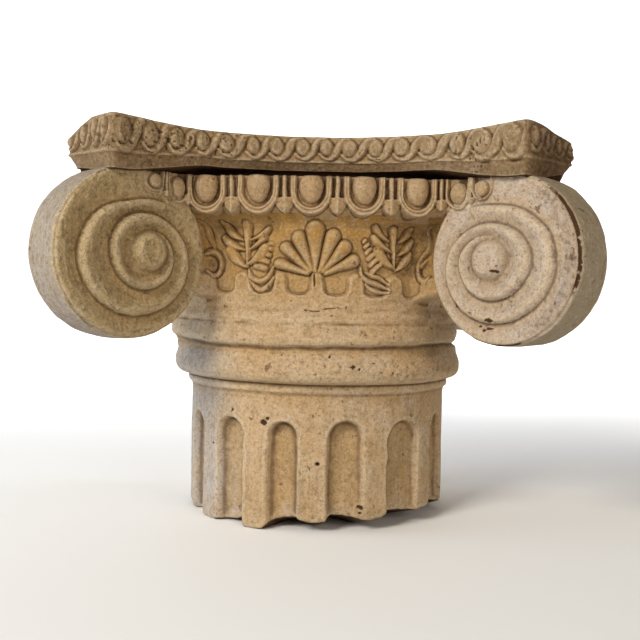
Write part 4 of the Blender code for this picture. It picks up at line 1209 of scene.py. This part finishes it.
def wave_row(relief, centres, small):
    """Running wave: ovals, each cradled by a strand that climbs and thins out over the next one."""
    path = ((-0.0078, -0.0062), (-0.0030, -0.0112), (0.0038, -0.0116), (0.0095, -0.0064), (0.0128, 0.0012),
            (0.0158, 0.0072), (0.0200, 0.0104), (0.0250, 0.0112))
    width = (0.0010, 0.0017, 0.0027, 0.0038, 0.0044, 0.0038, 0.0024, 0.0010)
    for k, c in enumerate(centres):
        step = centres[k + 1] - c if k + 1 < len(centres) else c - centres[k - 1]
        w = step / 0.0256
        tall = small * (0.94 + 0.12 * min(1.0, abs(c) / 0.2)**2)
        relief.strand([(c + a * w, BAND_MIDDLE + b * tall) for a, b in path], np.array(width) * w, 0.0036, 2.8)
        relief.oval((c - 0.0004, BAND_MIDDLE + 0.0008), 0.0079 * w * tall, 0.0100 * tall, 0.0046, -0.16, 2.8)


# Material
OCHRE = (0.40, 0.255, 0.105, 1.0)
# A bluish grey, painted on the left of the drum as cool light
COOL_LIGHT_GREY = (0.45, 0.405, 0.375, 1.0)
PALEST = (0.60, 0.480, 0.330, 1.0)
SMEAR = (0.185, 0.125, 0.058, 1.0)
CREASE = (0.110, 0.056, 0.022, 1.0)
DEEP = (0.028, 0.012, 0.005, 1.0)
CLAY = (0.125, 0.055, 0.030, 1.0)
SOOT_AND_SHADE = (0.060, 0.026, 0.009, 1.0)
SHAFT = ((0.470, 0.314, 0.167, 1.0), (0.489, 0.359, 0.221, 1.0), (0.508, 0.405, 0.310, 1.0))
# Darker neck colours: the neck's deeper ochre, with painted shade under the abacus
NECKING_SHADED = ((0.331, 0.174, 0.034, 1.0), (0.368, 0.202, 0.045, 1.0), (0.386, 0.224, 0.064, 1.0))
EGGED = ((0.368, 0.239, 0.121, 1.0), (0.396, 0.276, 0.158, 1.0), (0.423, 0.317, 0.205, 1.0))
# The left volutes are painted darker olive and the right ones paler rose: partly their own tone, partly painted shade
# on the left ones and painted light on the right ones
OLIVE_SHADED = ((0.338, 0.240, 0.105, 1.0), (0.404, 0.296, 0.147, 1.0), (0.414, 0.324, 0.191, 1.0))
ROSE_LIT = ((0.53, 0.400, 0.298, 1.0), (0.55, 0.450, 0.372, 1.0), (0.58, 0.505, 0.455, 1.0))
CROWN = ((0.221, 0.142, 0.065, 1.0), (0.276, 0.184, 0.099, 1.0), (0.331, 0.243, 0.167, 1.0))
OLIVE_RIM = (0.32, 0.278, 0.240, 1.0)
ROSE_RIM = (0.28, 0.232, 0.160, 1.0)


class Paint:
    """Shader nodes for the old paint, written as sums."""

    def __init__(self, name):
        self.material = bpy.data.materials.new(name)
        self.material.use_nodes = True
        self.tree = self.material.node_tree
        self.tree.nodes.clear()
        self.place = self.tree.nodes.new("ShaderNodeTexCoord").outputs["Object"]

    def put(self, value, target):
        if isinstance(value, (int, float, tuple)):
            target.default_value = value
        else:
            self.tree.links.new(value, target)

    def sum(self, kind, a, b):
        node = self.tree.nodes.new("ShaderNodeMath")
        node.operation = kind
        self.put(a, node.inputs[0])
        self.put(b, node.inputs[1])
        return node.outputs[0]

    def times(self, *values):
        total = values[0]
        for value in values[1:]:
            total = self.sum("MULTIPLY", total, value)
        return total

    def ramp(self, value, low, high, start=0.0, end=1.0):
        node = self.tree.nodes.new("ShaderNodeMapRange")
        node.interpolation_type = "SMOOTHSTEP"
        for k, v in enumerate((value, low, high, start, end)):
            self.put(v, node.inputs[k])
        return node.outputs[0]

    def mix(self, share, a, b):
        node = self.tree.nodes.new("ShaderNodeMix")
        node.data_type = "RGBA"
        self.put(share, node.inputs[0])
        self.put(a, node.inputs[6])
        self.put(b, node.inputs[7])
        return node.outputs[2]

    def noise(self, scale, detail, rough, stretch=None):
        vector = self.place
        if stretch:
            mapping = self.tree.nodes.new("ShaderNodeMapping")
            mapping.inputs["Scale"].default_value = stretch
            self.tree.links.new(vector, mapping.inputs["Vector"])
            vector = mapping.outputs[0]
        node = self.tree.nodes.new("ShaderNodeTexNoise")
        node.inputs["Scale"].default_value = scale
        node.inputs["Detail"].default_value = detail
        node.inputs["Roughness"].default_value = rough
        self.tree.links.new(vector, node.inputs["Vector"])
        return node.outputs["Fac"]

    def cells(self, scale):
        node = self.tree.nodes.new("ShaderNodeTexVoronoi")
        node.inputs["Scale"].default_value = scale
        self.tree.links.new(self.place, node.inputs["Vector"])
        return node.outputs["Distance"]


def aged_paint(name, low, high=None, grime=1.0, crease=1.0, streak=(6.0, 6.0, 60.0), ochre=0.60, wash_and_light_colour=COOL_LIGHT_GREY):
    """Old ochre paint over fired clay: pale on what stands out, ochre in hollows, and dark brown in creases, partly
    grime and partly painted shade.
    Each of low and high is three colours, ground, pale and palest; high takes over higher up."""
    n = Paint(name)
    attribute = n.tree.nodes.new("ShaderNodeAttribute")
    attribute.attribute_name = "marks"
    split = n.tree.nodes.new("ShaderNodeSeparateColor")
    n.put(attribute.outputs["Color"], split.inputs[0])
    near, wide, wash_and_cool_light = split.outputs[0], split.outputs[1], split.outputs[2]
    dirt_and_shade = attribute.outputs["Alpha"]

    cloud = n.noise(8.0, 4.0, 0.6)
    patch = n.noise(30.0, 4.0, 0.65)
    blot = n.noise(70.0, 5.0, 0.70)
    grain = n.noise(210.0, 3.0, 0.7)
    fine = n.noise(620.0, 2.0, 0.6)
    drag = n.noise(3.0, 4.0, 0.65, streak)
    tone = n.sum("ADD", n.times(cloud, 0.5), n.times(patch, 0.5))
    axes = n.tree.nodes.new("ShaderNodeSeparateXYZ")
    n.put(n.place, axes.inputs[0])

    tones = [n.ramp(tone, 0.40, 0.62), n.times(n.ramp(patch, 0.50, 0.68), 0.45)]
    colour = n.mix(tones[1], n.mix(tones[0], low[0], low[1]), low[2])
    if high:
        # Higher up the darker neck colours take over: the neck's deeper ochre, with painted shade under the abacus
        above = n.mix(tones[1], n.mix(tones[0], high[0], high[1]), high[2])
        up = n.sum("ADD", axes.outputs[2], n.times(n.sum("SUBTRACT", cloud, 0.5), 0.12))
        colour = n.mix(n.ramp(up, 0.235, 0.305), colour, above)
        # The stub is brushed up and down, the mouldings above it round and round
        upright = n.noise(3.0, 4.0, 0.65, (46.0, 46.0, 5.0))
        drag = n.mix(n.ramp(axes.outputs[2], 0.138, 0.150), upright, drag)
    # Washed parts are paler and greyer; on the left of the drum this is painted cool light
    colour = n.mix(n.times(wash_and_cool_light, n.ramp(tone, 0.30, 0.55, 0.60, 1.0)), colour, wash_and_light_colour)
    # Hollows hold the ochre, crests are rubbed pale
    colour = n.mix(n.times(n.ramp(n.sum("ADD", wide, n.times(tone, 0.20)), 0.600, 0.420), ochre), colour, OCHRE)
    crest = n.times(n.ramp(near, 0.506, 0.545), n.ramp(grain, 0.32, 0.58))
    colour = n.mix(n.times(crest, 0.55), colour, PALEST)
    # Rubbed dirt as blots, streaks, grains and specks, then dark creases, partly grime and partly painted shade
    speck = n.noise(330.0, 3.0, 0.75)
    for value, start, full, share, tint in (
            (blot, 0.50, 0.72, 0.45 * grime, SMEAR), (drag, 0.50, 0.70, 0.42 * grime, SMEAR),
            (grain, 0.46, 0.68, 0.62 * grime, SMEAR), (speck, 0.55, 0.68, 0.50, SMEAR),
            (speck, 0.46, 0.34, 0.34, PALEST), (fine, 0.50, 0.70, 0.45, SMEAR),
            (near, 0.490, 0.430, 0.55 * crease, CREASE), (near, 0.455, 0.380, 0.80 * crease, DEEP)):
        colour = n.mix(n.times(n.ramp(value, start, full), share), colour, tint)
    # Grime and painted shade from the mesh, laid on as soot brown, rubbed unevenly
    rubbed = n.ramp(n.sum("ADD", n.times(grain, 0.5), dirt_and_shade), 0.30, 0.80)
    colour = n.mix(n.times(rubbed, n.ramp(dirt_and_shade, 0.06, 0.34)), colour, SOOT_AND_SHADE)
    # Pinholes and small chips that show the clay
    spots = n.sum("MAXIMUM", n.ramp(n.noise(24.0, 3.0, 0.6), 0.56, 0.68), n.ramp(dirt_and_shade, 0.01, 0.05, 0.0, 0.55))
    hole = n.times(n.times(n.ramp(n.cells(260.0), 0.24, 0.12), n.ramp(grain, 0.44, 0.56)), spots)
    colour = n.mix(n.times(hole, 0.62), colour, CREASE)
    flake = n.ramp(n.noise(95.0, 4.0, 0.62), 0.665, 0.700)
    colour = n.mix(n.times(flake, 0.70), colour, CLAY)

    shader = n.tree.nodes.new("ShaderNodeBsdfPrincipled")
    n.put(colour, shader.inputs["Base Color"])
    n.put(n.ramp(tone, 0.3, 0.7, 0.66, 0.90), shader.inputs["Roughness"])
    shader.inputs["Specular IOR Level"].default_value = 0.28
    height = n.times(grain, 0.75)
    for value, share in ((fine, 0.45), (patch, 0.9), (drag, 0.45), (hole, -0.9), (flake, -0.8)):
        height = n.sum("ADD", height, n.times(value, share))
    bump = n.tree.nodes.new("ShaderNodeBump")
    bump.inputs["Strength"].default_value = 0.95
    bump.inputs["Distance"].default_value = 0.0013
    n.put(height, bump.inputs["Height"])
    n.put(bump.outputs[0], shader.inputs["Normal"])
    out = n.tree.nodes.new("ShaderNodeOutputMaterial")
    n.put(shader.outputs[0], out.inputs[0])
    return n.material


# Stage, light, camera
def stage():
    mesh = bpy.data.meshes.new("floor")
    half, front, back, rise, radius = 6.0, -4.0, 6.0, 4.0, 1.6
    rows = [(front, 0.0), (back - radius, 0.0)]
    for k in range(1, 13):
        a = 0.5 * math.pi * k / 12
        rows.append((back - radius + radius * math.sin(a), radius - radius * math.cos(a)))
    rows.append((back, rise))
    points = []
    for y, z in rows:
        points.append((-half, y, z))
        points.append((half, y, z))
    faces = [(2 * k, 2 * k + 1, 2 * k + 3, 2 * k + 2) for k in range(len(rows) - 1)]
    mesh.from_pydata(points, [], faces)
    floor = bpy.data.objects.new("floor", mesh)
    for face in mesh.polygons:
        face.use_smooth = True
    bpy.context.scene.collection.objects.link(floor)
    material = bpy.data.materials.new("pale_floor")
    material.use_nodes = True
    shader = material.node_tree.nodes["Principled BSDF"]
    shader.inputs["Base Color"].default_value = (0.92, 0.92, 0.92, 1.0)
    shader.inputs["Roughness"].default_value = 0.9
    shader.inputs["Specular IOR Level"].default_value = 0.1
    mesh.materials.append(material)


def light(name, place, target, size, power, colour):
    data = bpy.data.lights.new(name, "AREA")
    data.energy = power
    data.size = size
    data.color = colour
    thing = bpy.data.objects.new(name, data)
    thing.location = place
    thing.rotation_euler = (Vector(target) - Vector(place)).to_track_quat("-Z", "Y").to_euler()
    bpy.context.scene.collection.objects.link(thing)


def camera():
    data = bpy.data.cameras.new("camera")
    data.sensor_width = 36.0
    data.lens = FOCAL / 640.0 * 36.0
    data.clip_start = 0.01
    thing = bpy.data.objects.new("camera", data)
    c, s = math.cos(CAMERA_YAW), math.sin(CAMERA_YAW)
    forward = Vector((s * math.cos(CAMERA_PITCH), c * math.cos(CAMERA_PITCH), math.sin(CAMERA_PITCH)))
    right = Vector((c, -s, 0.0))
    up = right.cross(forward)
    cr, sr = math.cos(CAMERA_ROLL), math.sin(CAMERA_ROLL)
    x_axis = right * cr + up * sr
    y_axis = up * cr - right * sr
    turn = Matrix((x_axis, y_axis, -forward)).transposed().to_4x4()
    thing.matrix_world = Matrix.Translation((CAMERA_X, CAMERA_Y, CAMERA_Z)) @ turn
    bpy.context.scene.collection.objects.link(thing)
    bpy.context.scene.camera = thing


camera()
stage()
light("key", (-1.45, -2.05, 1.60), (0, 0, 0.22), 0.9, 66.0, (1.0, 0.94, 0.84))
light("side", (-2.60, -0.35, 0.95), (0, 0, 0.22), 1.4, 31.0, (0.66, 0.82, 1.0))
light("fill", (1.6, -2.2, 1.0), (0, 0, 0.20), 1.4, 23.0, (1.0, 0.88, 0.72))
light("back", (0.0, 2.4, 3.0), (0, 5.4, 0.2), 3.0, 300.0, (1.0, 1.0, 1.0))
world = bpy.data.worlds.new("world")
world.use_nodes = True
world.node_tree.nodes["Background"].inputs[0].default_value = (1.0, 0.98, 0.95, 1.0)
world.node_tree.nodes["Background"].inputs[1].default_value = 0.10
bpy.context.scene.world = world
bpy.context.scene.view_settings.view_transform = "Standard"

shaft_paint = aged_paint("paint_shaft", SHAFT, NECKING_SHADED, 0.8)
egg_paint = aged_paint("paint_eggs", EGGED, None, 0.8)
# Left volutes carry painted shade and right ones painted light in their colours, over their own tones
left_shaded_paint = aged_paint("paint_left_shaded", OLIVE_SHADED, None, 1.1, 0.50, (30.0, 30.0, 30.0), 0.50, OLIVE_RIM)
right_lit_paint = aged_paint("paint_right_lit", ROSE_LIT, None, 0.6, 0.50, (30.0, 30.0, 30.0), 0.32, ROSE_RIM)
crown_paint = aged_paint("paint_crown", CROWN, None, 1.0)

drum(shaft_paint)
neck(shaft_paint)
echinus(egg_paint)
volute(0, "volute_right", right_lit_paint, RIGHT_COIL, 1)
volute(3, "volute_left", left_shaded_paint, LEFT_COIL, -1)
volute(1, "volute_back_right", right_lit_paint, RIGHT_COIL, 0)
volute(2, "volute_back_left", left_shaded_paint, LEFT_COIL, 0)
abacus(crown_paint)
